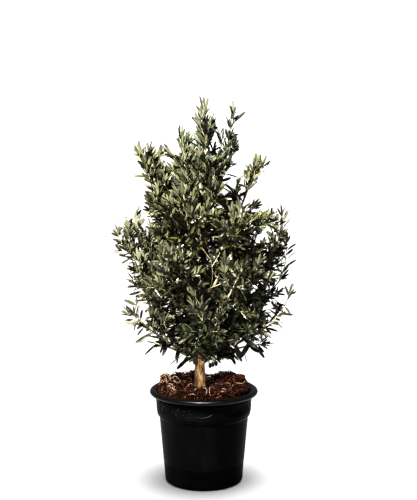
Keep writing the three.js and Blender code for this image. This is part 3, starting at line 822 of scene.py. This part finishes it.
def make_strands():
    """Fibres, roots and wood straw: thin curved strands lying over the compost."""
    rng = np.random.default_rng(5)
    pile = Pile()
    shares = np.linspace(-0.5, 0.5, STRAND_STEPS)
    x, y = scatter(rng, STRANDS, 0.55, heaped=0.45)
    for a, b in zip(x, y):
        pale = rng.uniform() < 0.06 + 0.8 * left_heap(a, b)
        long = rng.uniform(12, 30)
        spin = rng.uniform(0, 2 * math.pi)
        angle = spin + rng.normal(0, 1.1) * shares
        step = np.stack([np.cos(angle), np.sin(angle)], -1) * long / STRAND_STEPS
        flat = np.cumsum(step, 0) + (a, b) - step.sum(0) / 2
        if np.hypot(*flat.T).max() > STRAND_REACH:
            continue
        lift = rng.uniform(1, 2.5) + rng.uniform(0, 5) * np.cos(shares * math.pi)
        radius = rng.uniform(0.45, 0.9) * (1.3 if pale else 1)
        paint = int(rng.choice([2, 3, 3, 3] if pale else [0, 1, 1, 2]))
        strand(pile, flat, lift, radius, paint)
    shares = np.linspace(0, 1, ROOT_STEPS)
    for places in BLEACHED_ROOTS:
        bends = np.linspace(0, 1, len(places))
        curve = np.stack([np.interp(shares, bends, side) for side in zip(*places)], -1)
        curve[1:-1] = (curve[:-2] + curve[1:-1] + curve[2:]) / 3
        strand(pile, curve, 4 + 3 * np.sin(shares * math.pi), 0.9, 4, 6)
    return pile.piece("compost_strands", chip_woods, "soil", sharp=60)


# The rule of growth, as in the solids

ARC_STEPS = 200
# How finely the stem is stepped along to find the place at a height
STEM_STEP = 0.002
# The turn round a twig from one finer shoot to the next, in degrees
GOLDEN_ANGLE = 137.5
# Where limbs and stem, and new shoots, are tested for room, by their share of the way along
WOOD_SHARES = np.linspace(0, 1, 61)
CHECKED_SHARES = np.array([0.1, 0.3, 0.5, 0.75, 1])
# The crown's edge seen from above lies between an ellipse, which is 2, and a box
OUTLINE_POWER = 2.4
# Shoots that stand out of the crown leave their limb at one of these shares of the way along
STANDING_SHARES = np.linspace(0.35, 0.97, 32)


class Shoot:
    """An arc that sets out towards its bend and ends heading away from it."""

    def __init__(self, root, bend, tip, thick, thin):
        self.root, self.bend, self.tip = root, bend, tip
        self.thick, self.thin = thick, thin
        steps = np.diff(self.at(np.linspace(0, 1, ARC_STEPS + 1)), axis=0)
        self.length = np.linalg.norm(steps, axis=1).sum()
        across = np.cross(bend - root, tip - bend)
        if across @ across < 1e-6:
            across = np.cross(tip - root, UP)
        self.across = unit(across)

    def at(self, share):
        share = np.asarray(share, float)[..., None]
        return (1 - share) ** 2 * self.root + 2 * share * (1 - share) * self.bend + share ** 2 * self.tip

    def heading(self, share):
        share = np.asarray(share, float)[..., None]
        return unit((1 - share) * (self.bend - self.root) + share * (self.tip - self.bend))

    def radius(self, share):
        return lerp(self.thick, self.thin, share)

    def outward(self, share, angle, clock):
        """The way out at an angle to the heading, on the side that a clock angle names."""
        heading = self.heading(share)
        over = np.cross(heading, self.across)
        angle, clock = np.asarray(angle, float)[..., None], np.asarray(clock, float)[..., None]
        return (heading * np.cos(angle) + self.across * np.sin(angle) * np.cos(clock)
                + over * np.sin(angle) * np.sin(clock))


class Stem(Shoot):
    """The stem, flared at the root and stepping down where it forks."""

    def radius(self, share):
        height = self.at(share)[..., 2] - GROUND
        over = lerp(RADIUS_OVER_FORK, STEM_TIP_RADIUS, smoothstep(share, 0.15, 1.1))
        forked = smoothstep(height + GROUND, FORK_HEIGHT - 15, FORK_HEIGHT + 60)
        return ROOT_FLARE * np.exp(-height / FLARE_HEIGHT) + lerp(STEM_RADIUS, over, forked)


stem = Stem(STEM_FOOT, STEM_BEND, STEM_TIP, 0, 0)


def stem_at(height):
    share = 0
    while share < 1 and stem.at(share)[2] < height:
        share += STEM_STEP
    return stem.at(min(share, 1))


class Spray:
    """A mass of foliage: its limb from the middle of the stem, and its heart, which its space is round."""

    def __init__(self, index, name, facing, reach, height, bare):
        angle = math.radians(facing)
        tip = np.array([reach * math.cos(angle), reach * math.sin(angle), height])
        rank = (height - reach - LOWEST_RANK) / (HIGHEST_RANK - LOWEST_RANK)
        stagger = STAGGER * (0.9 + index % 3) * (1 - rank) if bare else 0
        root = stem_at(lerp(LOWEST_ROOT, STEM_TIP[2], rank ** RANK_POWER) + stagger)
        far = np.linalg.norm(tip - root)
        bend = (root + tip) / 2 - UP * BOW * far * (1 if height > ARCHED_UNDER else -1)
        family = name.split("_")[0]
        # How high and far left a spray stands: it pales its leaves, partly as younger growth and partly as
        # painted light from above and from the left
        sunlit = smoothstep(height - 0.5 * tip[0], *PALENESS_HEIGHTS)
        self.name, self.index, self.bare = name, index, bare
        self.tier = next(tier for tier, families in TIERS.items() if family in families)
        self.thinness = THINNER.get(name, 1)
        self.paleness = lerp(*PALENESS, sunlit) + PALER.get(name, 0)
        self.limb = Shoot(root, bend, tip, LIMB_RADIUS + LIMB_RADIUS_PER_MM * far, LIMB_TIP_RADIUS)
        self.heart = self.limb.at(HEART)


class StemShoots:
    """What owns the shoots that come straight from the stem: they fill the middle of the crown."""
    index = -1
    paleness = -0.1
    thinness = 1


sprays = [Spray(index, *row) for index, row in enumerate(SPRAYS)]
hearts = np.array([spray.heart for spray in sprays])
woods = [stem, *(spray.limb for spray in sprays)]
wood_places = np.concatenate([wood.at(WOOD_SHARES) for wood in woods])
wood_radii = np.concatenate([wood.radius(WOOD_SHARES) for wood in woods])
wood_owner = np.repeat(np.arange(-1, len(sprays)), len(WOOD_SHARES))


def in_own_space(owner, places, room):
    """Whether each place is nearer to a spray's heart than to any other's, with room to spare."""
    if owner is StemShoots:
        return np.ones(len(places), bool)
    far = ((places[:, None] - hearts[None]) ** 2).sum(-1)
    apart = np.linalg.norm(hearts - owner.heart, axis=1)
    clear = far - far[:, owner.index, None] > 2 * room * apart
    clear[:, owner.index] = True
    return clear.all(1)


def clear_of_wood(owner, places, room):
    """Whether each place is clear of the stem and of the other sprays' limbs."""
    others = wood_owner != owner.index
    far = np.linalg.norm(places[:, None] - wood_places[None, others], axis=-1)
    return (far > wood_radii[None, others] + room).all(1)


def inside_crown(places):
    x, y, z = places.T
    middle = np.interp(z, CROWN[:, 0], CROWN[:, 1])
    radius = np.interp(z, CROWN[:, 0], CROWN[:, 2], left=0, right=0)
    return np.hypot(x - middle, y) < radius


def inside_outline(places):
    """Whether each place is within the crown's edge."""
    x, y, z = places.T
    left, right = (np.interp(z, OUTLINE[:, 0], OUTLINE[:, side], left=0, right=0) for side in (1, 2))
    deep = np.interp(z, CROWN[:, 0], CROWN[:, 2])
    wide = np.maximum(right - left, 1) / 2
    aside = np.abs(x - (left + right) / 2)
    return (aside / wide) ** OUTLINE_POWER + (np.abs(y) / deep) ** OUTLINE_POWER < 1


def in_sky(places):
    """Whether each place is within a gap that shows sky, seen from the front."""
    aside, above = places[:, None, 0] - SKY[:, 0], places[:, None, 2] - SKY[:, 1]
    return (np.hypot(aside, above) < SKY[:, 2]).any(1)


def upright(height):
    """How far the top of the crown, where shoots and leaves stand up, is reached at a height."""
    return smoothstep(height, *TOP_HEIGHTS)


def size_at(height):
    """How much larger leaves are in the top of the crown and at its foot than in the middle."""
    return 1 + LARGER_IN_TOP * upright(height) + LARGER_AT_FOOT * smoothstep(height, *FOOT_HEIGHTS)


def lift_at(height):
    """Shoots lift towards the light, and droop at the foot of the crown."""
    return lerp(-TWIG_DROOP, TWIG_LIFT, smoothstep(height, CROWN[0, 0], DROOP_UNDER))


def shoot_from(parent, share, angle, clock, length, thick, thin, sag=0.0, rise=0.0):
    """A shoot out of a parent's side, which rises more the nearer it is to the top."""
    root = parent.at(share)
    lift = lift_at(root[2]) + rise * upright(root[2])
    tip = root + unit(parent.outward(share, angle, clock) + UP * lift) * length
    return Shoot(root, (root + tip) / 2 - UP * sag * length, tip, thick, thin)


def twigs_of(spray):
    """The twigs that the solids have too: each on the next of three sides, or shorter, where it fits."""
    limb, index = spray.limb, spray.index
    first = max(spray.bare, 0.12) + 0.05
    twigs = []
    for number in range(math.floor((0.92 - first) * limb.length / TWIG_GAP)):
        draw = chance(index, number, 50)
        share = first + number * TWIG_GAP / limb.length
        reach = TWIG_LENGTH * lerp(1.2, 0.45, share) * lerp(0.8, 1.2, draw)
        thick = 0.4 * limb.radius(share)
        for length, side in [(length, side) for length in (reach, reach * 0.72) for side in range(3)]:
            clock = math.radians(30 + 120 * ((number + index + side) % 3) + 24 * (draw - 0.5))
            twig = shoot_from(limb, share, math.radians(TWIG_ANGLE), clock, length, thick, 1.0)
            places = twig.at(CHECKED_SHARES)
            if (in_own_space(spray, places, TWIG_ROOM).all() and inside_crown(places).all()
                    and clear_of_wood(spray, places, TWIG_AIR).all()):
                twigs.append(twig)
                break
    return [twig for twig in map(kept_inside, twigs) if twig]


def kept_inside(twig):
    """The twig, or the part of it that ends within the crown's edge, or None."""
    for share in (1, 0.75, 0.5):
        tip = twig.at(share)
        if inside_outline(tip[None]).all() and not in_sky(tip[None]).any():
            return Shoot(twig.root, (twig.root + tip) / 2, tip, twig.thick, twig.thin)
    return None


def finer_shoots(owner, parent, key, gap, longest, start=0.16, stop=0.94):
    """Finer twigs along a twig, limb or stem, turning round it by a wide angle from one to the next."""
    found = []
    thick, thin = FINE_RADIUS * 1.2, FINE_RADIUS * 0.7
    count = math.floor((stop - start) * parent.length / gap / owner.thinness)
    for number in range(count):
        draw = chance(owner.index, key, 70 + number)
        share = lerp(start, stop, (number + 0.8 * draw) / count)
        angle = math.radians(lerp(FINE_ANGLE + 8, FINE_ANGLE - 8, draw))
        for side in range(5):
            clock = math.radians(GOLDEN_ANGLE * (number + 2 * side) + 40 * draw + 60 * key)
            length = longest * lerp(1.15, 0.5, share) * lerp(0.7, 1.2, draw) * (1 - 0.1 * side)
            shoot = shoot_from(parent, share, angle, clock, length, thick, thin, sag=0.05, rise=0.7)
            places = shoot.at(CHECKED_SHARES)
            if (in_own_space(owner, places, -FINE_OVERLAP).all() and inside_outline(places).all()
                    and clear_of_wood(owner, places[1:], 3).all() and not in_sky(places).any()):
                found.append(shoot)
                break
    return found


def standing_shoot(spray, tip):
    """A shoot whose last leaf ends at a tip outside the crown's edge, from the limb nearest below it."""
    tip = np.array(tip, float)
    under = tip * (0.78, 0.78, 1) - UP * 75
    starts = spray.limb.at(STANDING_SHARES)
    root = starts[np.argmin(np.linalg.norm(starts - under, axis=1))]
    end = tip + unit(under - tip) * TIP_LEAF_LENGTH
    for _ in range(4):
        far = np.linalg.norm(end - root)
        bend = (root + end) / 2 + np.array([0.1, 0.1, -0.12]) * far * np.sign(tip * (1, 1, 0) + UP)
        end = tip - unit(end - bend) * TIP_LEAF_LENGTH
    return Shoot(root, bend, end, 1.5, 0.8)


# Leaves

# A leaf's half width at shares of its length, of which the widest is 1
LEAF_STATIONS = np.array([0.0, 0.08, 0.3, 0.62, 0.9])
LEAF_HALF_WIDTHS = np.array([0.1, 0.24, 0.84, 1.0, 0.68])
LEAF_FOLD = 0.3
LEAF_HALF_THICKNESS = 0.3
# Ages from which a leaf is grown, pale and young
LEAF_AGES = (0.1, 0.5, 0.84)
SHADED_SHARE = 0.2
# How far round its own length a leaf may be rolled, from the one extreme to the other, in radians
LEAF_ROLL = 3.6
LAST_PAIR = 0.97
# The last leaf of a shoot and the two pairs round it: how far each opens, towards which side, how long it
# is, and how it is rolled, curled and aged
TIP_FAN = np.radians([0.5, 24, 24, 42, 42])
TIP_FAN_CLOCK = np.radians([0, 20, 200, 110, 290])
TIP_FAN_LENGTHS = np.array([1, 0.78, 0.72, 0.66, 0.62])
TIP_FAN_ROLLS = np.array([0.4, 0.9, -0.9, 1.3, -1.3])
TIP_FAN_CURLS = np.array([0.02, 0.05, -0.03, 0.08, 0.02])
TIP_FAN_AGES = np.array([1, 0, 1, 0, 0])
TIP_FAN_SLIMNESS = np.full(5, LEAF_SLIMNESS)
LONE_LEAF_CURL = 0.06


def leaf_points(root, way, face, length, width, curl):
    """The corners of many leaves: rings of (left edge, rib above, right edge, rib below), and the tip."""
    aside = np.cross(way, face)
    half = LEAF_HALF_WIDTHS[None] * width[:, None] / 2
    thick = LEAF_HALF_THICKNESS * np.where(LEAF_STATIONS < 0.1, 1.4, 1.0)[None] + 0 * half
    along = LEAF_STATIONS[None] * length[:, None]
    drop = -curl[:, None] * length[:, None] * LEAF_STATIONS[None] ** 2
    spots = [(-half, LEAF_FOLD * half), (0 * half, thick), (half, LEAF_FOLD * half), (0 * half, -thick)]
    rings = np.stack([
        root[:, None] + way[:, None] * along[..., None] + aside[:, None] * across[..., None]
        + face[:, None] * (drop + over)[..., None]
        for across, over in spots
    ], 2).reshape(len(root), -1, 3)
    tip = root + way * length[:, None] - face * (curl * length)[:, None]
    return np.concatenate([rings, tip[:, None]], 1)


def leaf_rows():
    """The faces of a leaf, the upper ones first: its two upper halves, and then its two lower ones."""
    rings = ring_rows(len(LEAF_STATIONS), 4)
    last = 4 * (len(LEAF_STATIONS) - 1)
    tip = np.array([[last + i, last + (i + 1) % 4, last + 4] for i in range(4)])
    upper = np.isin(rings[:, 0] % 4, (0, 1))
    return [rings[upper], tip[:2], rings[~upper], tip[2:], np.array([[3, 2, 1, 0]])]


class Leaves:
    """The leaves of one tier, gathered as arrays."""

    def __init__(self):
        self.rows = []

    def put(self, owner, root, way, length, roll, slim, curl, tint, strict=True, placed=False):
        """Leaves where there is room for them. Strict ones keep to the crown, and placed ones all stay."""
        way = unit(way)
        face = unit(UP - way * way[:, 2:])
        aside = np.cross(way, face)
        face = face * np.cos(roll)[:, None] + aside * np.sin(roll)[:, None]
        tip = root + way * length[:, None]
        middle = (root + tip) / 2
        fits = clear_of_wood(owner, tip, 1) & clear_of_wood(owner, middle, 2)
        fits &= ~in_sky(tip) & ~in_sky(middle)
        fits |= placed
        if strict:
            reach = np.maximum(length - LEAF_OVERHANG, 0.2 * length)
            fits &= in_own_space(owner, middle, -FINE_OVERLAP) & inside_outline(root + way * reach[:, None])
            fits &= in_own_space(owner, tip, -2 * FINE_OVERLAP)
        leaves = (root, way, face, length, length / slim, curl, tint)
        self.rows.append([values[fits] for values in leaves])

    def piece(self, name, tops, stands_for):
        *shapes, tint = (np.concatenate(values) for values in zip(*self.rows))
        under = SHADED + 1 + (tint == YOUNG)
        pile = Pile()
        pile.put(leaf_points(*shapes), leaf_rows(), [tint, tint, under, under, under])
        return pile.piece(name, tops + leaf_unders, "foliage", stands_for, sharp=60)


def leafy(leaves, owner, shoot, key, start, strict=True, gap=PAIR_GAP):
    """Pairs of leaves down a shoot, each pair a quarter turn on from the last, smaller at its tip."""
    tip_spread, tip_length = (36, 0.66) if strict else (44, 0.9)
    count = max(2, round((LAST_PAIR - start) * shoot.length / gap / owner.thinness))
    side, pair = np.divmod(np.arange(2 * count), count)
    draw = np.array([chance(owner.index, key + 0.37 * a, b) for a, b in zip(side, pair)])
    other = np.array([chance(owner.index + 0.5, key + 0.61 * a, b) for a, b in zip(side, pair)])
    share = lerp(LAST_PAIR, start, (pair + 0.25) / count + 0.04 * (draw - 0.5))
    clock = math.pi / 2 * pair + math.pi * side + 0.9 * (other - 0.5) + key
    near_tip = smoothstep(share * shoot.length, shoot.length - 45, shoot.length)
    spread = np.radians(lerp(74, tip_spread, near_tip) + lerp(76, 30, near_tip) * (draw - 0.5))
    root = shoot.at(share)
    height = root[:, 2]
    length = LEAF_LENGTH * lerp(0.7, 1.25, other) * lerp(1, tip_length, near_tip) * size_at(height)
    high = upright(height)
    lift = lift_at(height) + lerp(1.1, 0.8, high) * (other - 0.5) + 0.35 * high
    way = shoot.outward(share, spread * lerp(1, 0.86, high), clock) + UP * lift[:, None]
    roll = LEAF_ROLL * ((other * 5.7) % 1 - 0.5)
    slim = LEAF_SLIMNESS * lerp(0.82, 1.2, other)
    curl = lerp(-0.04, 0.14, draw)
    age = 0.5 * near_tip + owner.paleness + 0.8 * (other - 0.5) + 0.3 * (draw - 0.5)
    tint = np.where((draw * 7.3) % 1 < SHADED_SHARE, SHADED, np.digitize(age, LEAF_AGES))
    leaves.put(owner, root, way, length, roll, slim, curl, tint, strict)


def tip_leaf(leaves, owner, shoot):
    """The leaf that ends a shoot, where the solids have one too, and two pairs that open round it."""
    root = np.repeat(shoot.at(0.99)[None], 5, 0)
    way = shoot.outward(np.ones(5), TIP_FAN, TIP_FAN_CLOCK)
    length = TIP_LEAF_LENGTH * TIP_FAN_LENGTHS * (0.8 if owner is StemShoots else 1)
    tint = TIP_FAN_AGES + (owner.paleness > 0)
    leaves.put(owner, root, way, length, TIP_FAN_ROLLS, TIP_FAN_SLIMNESS, TIP_FAN_CURLS, tint, strict=False)


# Wood

def bark_relief(place, rough):
    """Long shallow furrows with fine grain between them, and here and there a knot."""
    x, y, z = place
    furrow = noise.noise(Vector((x / 6, y / 6, z / 34)))
    grain = noise.noise(Vector((x / 2.2, y / 2.2, z / 9)))
    knot = max(0.0, noise.noise(Vector((x / 13, y / 13, z / 15 + 7))) - 0.32)
    return rough * (0.7 * furrow + 0.35 * grain + 2.6 * knot + 0.8)


def tube(pile, shoot, start, stop, steps, sides, rough=0.0, swell=0.0):
    """A closed tube along a shoot, with bark relief of that depth, swollen where it leaves its parent."""
    shares = np.linspace(start, stop, steps + 1)
    over = np.cross(shoot.heading(shares), shoot.across)
    rings = (shoot.at(shares), shoot.across[None], over, sides)
    radii = shoot.radius(shares) * (1 + swell * np.exp(-(shares - start) * shoot.length / 9))
    radii = np.repeat(radii[:, None], sides, 1)[..., None]
    if rough:
        relief = [bark_relief(place, rough) for place in rings_along(*rings, radii)]
        radii = radii + np.reshape(relief, radii.shape)
    pile.put(rings_along(*rings, radii), tube_rows(steps + 1, sides))


def make_wood():
    trunk = Pile()
    tube(trunk, stem, 0, 1, 330, 56, rough=0.9)
    standing = trunk.piece("trunk_bark", [olive_bark], "bark", ["trunk"], sharp=180)
    boughs = Pile()
    bare = [spray for spray in sprays if spray.bare]
    for spray in bare:
        tube(boughs, spray.limb, 0, spray.bare + 0.02, 40, 20, rough=0.5, swell=0.5)
    nodes = [f"bough_{spray.name}" for spray in bare]
    boughs.piece("bough_bark", [olive_bark], "bark", nodes, sharp=180)
    return standing


def make_olives():
    """Olives on their stalks under a spray, at the same shares of its limb as in the solids."""
    spray = next(spray for spray in sprays if spray.name == OLIVE_SPRAY)
    fruit, stalks = Pile(), Pile()
    heights = -np.cos(np.linspace(0, math.pi, 15))
    profile = [(math.sqrt(1 - h * h) * OLIVE_WIDTH / 2, h * OLIVE_LENGTH / 2) for h in heights]
    for share in OLIVE_SHARES:
        root = spray.limb.at(share)
        end = root + OLIVE_STALK
        bend = (root + end) / 2 + np.array([1.0, -1.5, 1.0])
        tube(stalks, Shoot(root, bend, end, 0.7, 0.55), 0, 1, 6, 6)
        turned(fruit, profile, 20)
        fruit.points[-1] = fruit.points[-1] + end - UP * (OLIVE_LENGTH / 2 - 1.5)
    fruit.piece("olives", [olive_skin], "foliage", sharp=80)
    stalks.piece("olive_stalks", [twig_bark], "foliage", sharp=80)


def grow(tier, owner, shoots, first_key, strict=True):
    """Wood and leaves along shoots, given as (shoot, the share of it that is bare)."""
    twigs, leaves = tier
    gap = PAIR_GAP if strict else STANDING_PAIR_GAP
    for number, (shoot, bare) in enumerate(shoots):
        tube(twigs, shoot, 0, 1, 6, 6)
        leafy(leaves, owner, shoot, first_key + number, bare, strict, gap)
        tip_leaf(leaves, owner, shoot)


def grow_spray(tier, spray):
    """The part of a limb within its mass, with its twigs, finer twigs and shoots that stand out."""
    limb = spray.limb
    twigs, leaves = tier
    tube(twigs, limb, spray.bare, 1, 24, 9, rough=0.25, swell=0 if spray.bare else 0.5)
    within = spray.name not in LEAFY_LIMBS and bool(inside_outline(limb.at(0.9)[None])[0])
    leafy(leaves, spray, limb, 0.1, max(spray.bare, 0.1) + 0.06, strict=within)
    tip_leaf(leaves, spray, limb)
    coarse = twigs_of(spray)
    fine = finer_shoots(spray, limb, 0, FINE_GAP, FINE_LENGTH, 0.1)
    for number, twig in enumerate(coarse):
        fine += finer_shoots(spray, twig, number + 1, FINE_GAP, FINE_LENGTH * 0.85)
    shoots = [(twig, 0.2) for twig in coarse] + [(twig, 0.12) for twig in fine]
    grow(tier, spray, shoots, 1)
    standing = [(standing_shoot(spray, tip), 0.2) for tip in STANDING_OUT.get(spray.name, ())]
    grow(tier, spray, standing, 200, strict=False)


def hang_lone_leaves(leaves):
    root, tip = LONE_LEAVES[:, 0], LONE_LEAVES[:, 1]
    way = tip - root
    length = np.linalg.norm(way, axis=1)
    slim = np.where(length > 60, 4.8, 3.6)
    curl = np.full(len(root), LONE_LEAF_CURL)
    leaves.put(StemShoots, root, way, length, LONE_LEAF_ROLLS, slim, curl, LONE_LEAF_PAINTS, strict=False,
               placed=True)


def make_crown():
    tiers = {tier: (Pile(), Leaves()) for tier in TIERS}
    for spray in sprays:
        grow_spray(tiers[spray.tier], spray)
    for shoot in finer_shoots(StemShoots, stem, 7, STEM_SHOOT_GAP, STEM_SHOOT_LENGTH, 0.24, 0.99):
        height = shoot.root[2]
        tier = "low" if height < 500 else "middle" if height < 620 else "shoulder"
        grow(tiers[tier], StemShoots, [(shoot, 0.15)], round(height))
    hang_lone_leaves(tiers["skirt"][1])
    for places in SHOWING_TWIGS:
        tube(tiers["middle"][0], Shoot(*places, 1.5, 0.8), 0, 1, 8, 6)
    for tier, (twigs, leaves) in tiers.items():
        nodes = [f"foliage_{spray.name}" for spray in sprays if spray.tier == tier]
        leaves.piece(f"leaves_{tier}", leaf_tops[tier], nodes)
        twigs.piece(f"twigs_{tier}", [twig_bark], "foliage", nodes, sharp=80)


pot = [make_pot(), make_rim(), make_ornament()]
compost = [make_soil(), make_chips(), make_strands()]
trunk = make_wood()
make_crown()
make_olives()


# The studio, in metres: a white floor and backdrop, soft lamps, and the picture's camera

CAMERA_PLACE = (0.013, -2.6, 0.9)
CAMERA_DOWN = 5.6
FOCAL_PIXELS = 951
PICTURE_WIDTH = 417
FLOOR_RADIUS = 1.6
FLOOR_SIDES = 96
BACKDROP_RADIUS = 9.0
LAMPS_AIM = Vector((0, 0, 0.5))
WORLD_STRENGTH = 0.23


def make_floor():
    mesh = bpy.data.meshes.new("floor")
    edge = np.column_stack([FLOOR_RADIUS * circle(FLOOR_SIDES), np.zeros(FLOOR_SIDES)])
    mesh.from_pydata(edge.tolist(), [], [list(range(FLOOR_SIDES))])
    # White studio paper, matt
    mesh.materials.append(material("white_studio_paper", base=linear("#FDFDFD"), roughness=0.9, specular=0))
    floor = put_in_scene("floor", mesh)
    return floor


def make_backdrop():
    """A white dome far round the floor. It is only seen, and lights nothing."""
    mesh = bpy.data.meshes.new("backdrop")
    shape = bmesh.new()
    bmesh.ops.create_uvsphere(shape, u_segments=48, v_segments=24, radius=BACKDROP_RADIUS)
    shape.to_mesh(mesh)
    shape.free()
    # A white that glows evenly, as a lit studio wall does
    mesh.materials.append(material(
        "white_backdrop", base=(0, 0, 0, 1), specular=0, glow=(1, 1, 1, 1), glow_strength=1))
    dome = put_in_scene("backdrop", mesh)
    dome.visible_diffuse = False
    dome.visible_glossy = False
    dome.visible_transmission = False
    dome.visible_shadow = False


def linked_things(name, things, state):
    """A collection that a lamp is linked to, with each thing in it included or excluded."""
    linked = bpy.data.collections.new(name)
    for thing in things:
        linked.objects.link(thing)
    for own in linked.collection_objects:
        own.light_linking.link_state = state
    return linked


def make_light(name, place, size, watts, unlit=(), lit=(), shadowed_by=(), tint=(1, 1, 1)):
    """A soft round lamp aimed at the tree. It lights all but the unlit things, or the lit ones alone."""
    lamp = bpy.data.lights.new(name, "AREA")
    lamp.shape = "DISK"
    lamp.size = size
    lamp.energy = watts
    lamp.color = tint
    made = put_in_scene(name, lamp)
    made.location = place
    made.rotation_euler = (LAMPS_AIM - Vector(place)).to_track_quat("-Z", "Y").to_euler()
    made.visible_camera = False
    linking = made.light_linking
    state = "EXCLUDE" if unlit else "INCLUDE"
    linking.receiver_collection = linked_things(name + "_lights", (*unlit, *lit), state)
    if shadowed_by:
        linking.blocker_collection = linked_things(name + "_shadows", shadowed_by, "INCLUDE")


def make_camera():
    lens = bpy.data.cameras.new("camera")
    lens.sensor_fit = "HORIZONTAL"
    lens.sensor_width = 36
    lens.lens = FOCAL_PIXELS / PICTURE_WIDTH * lens.sensor_width
    made = put_in_scene("camera", lens)
    made.location = CAMERA_PLACE
    made.rotation_euler = (math.radians(90 - CAMERA_DOWN), 0, 0)
    bpy.context.scene.camera = made


def make_world():
    scene = bpy.context.scene
    world = bpy.data.worlds.new("studio")
    world.use_nodes = True
    sockets = world.node_tree.nodes["Background"].inputs
    sockets["Color"].default_value = (1, 1, 1, 1)
    sockets["Strength"].default_value = WORLD_STRENGTH
    scene.world = world
    scene.view_settings.view_transform = "Standard"
    scene.view_settings.look = "High Contrast"


floor = make_floor()
make_backdrop()
not_key_lit = [floor, trunk, pot[1], *compost]
make_light("key", (-1.3, -2.0, 2.9), 0.5, 870, unlit=not_key_lit, tint=(1, 1, 0.93))
make_light("back_fill", (0.1, 3.05, 2.2), 1.4, 230, unlit=[floor, *pot])
make_light("side_fill", (2.6, 0.3, 1.7), 1.2, 42, unlit=[floor, trunk, *pot, *compost])
make_light("rim_lamp", (-0.3, -1.7, 2.9), 0.4, 205, lit=pot[1:], shadowed_by=pot)
in_the_way = [trunk, *pot, *compost]
make_light("compost_lamp", (-1.5, -1.9, 1.9), 0.5, 300, lit=compost, shadowed_by=in_the_way)
make_light("stem_lamp", (0.5, -2.4, 0.62), 0.5, 84, lit=[trunk])
make_light("floor_wash", (0.12, 0, 5.0), 3.6, 205, lit=[floor], shadowed_by=pot)
make_camera()
make_world()
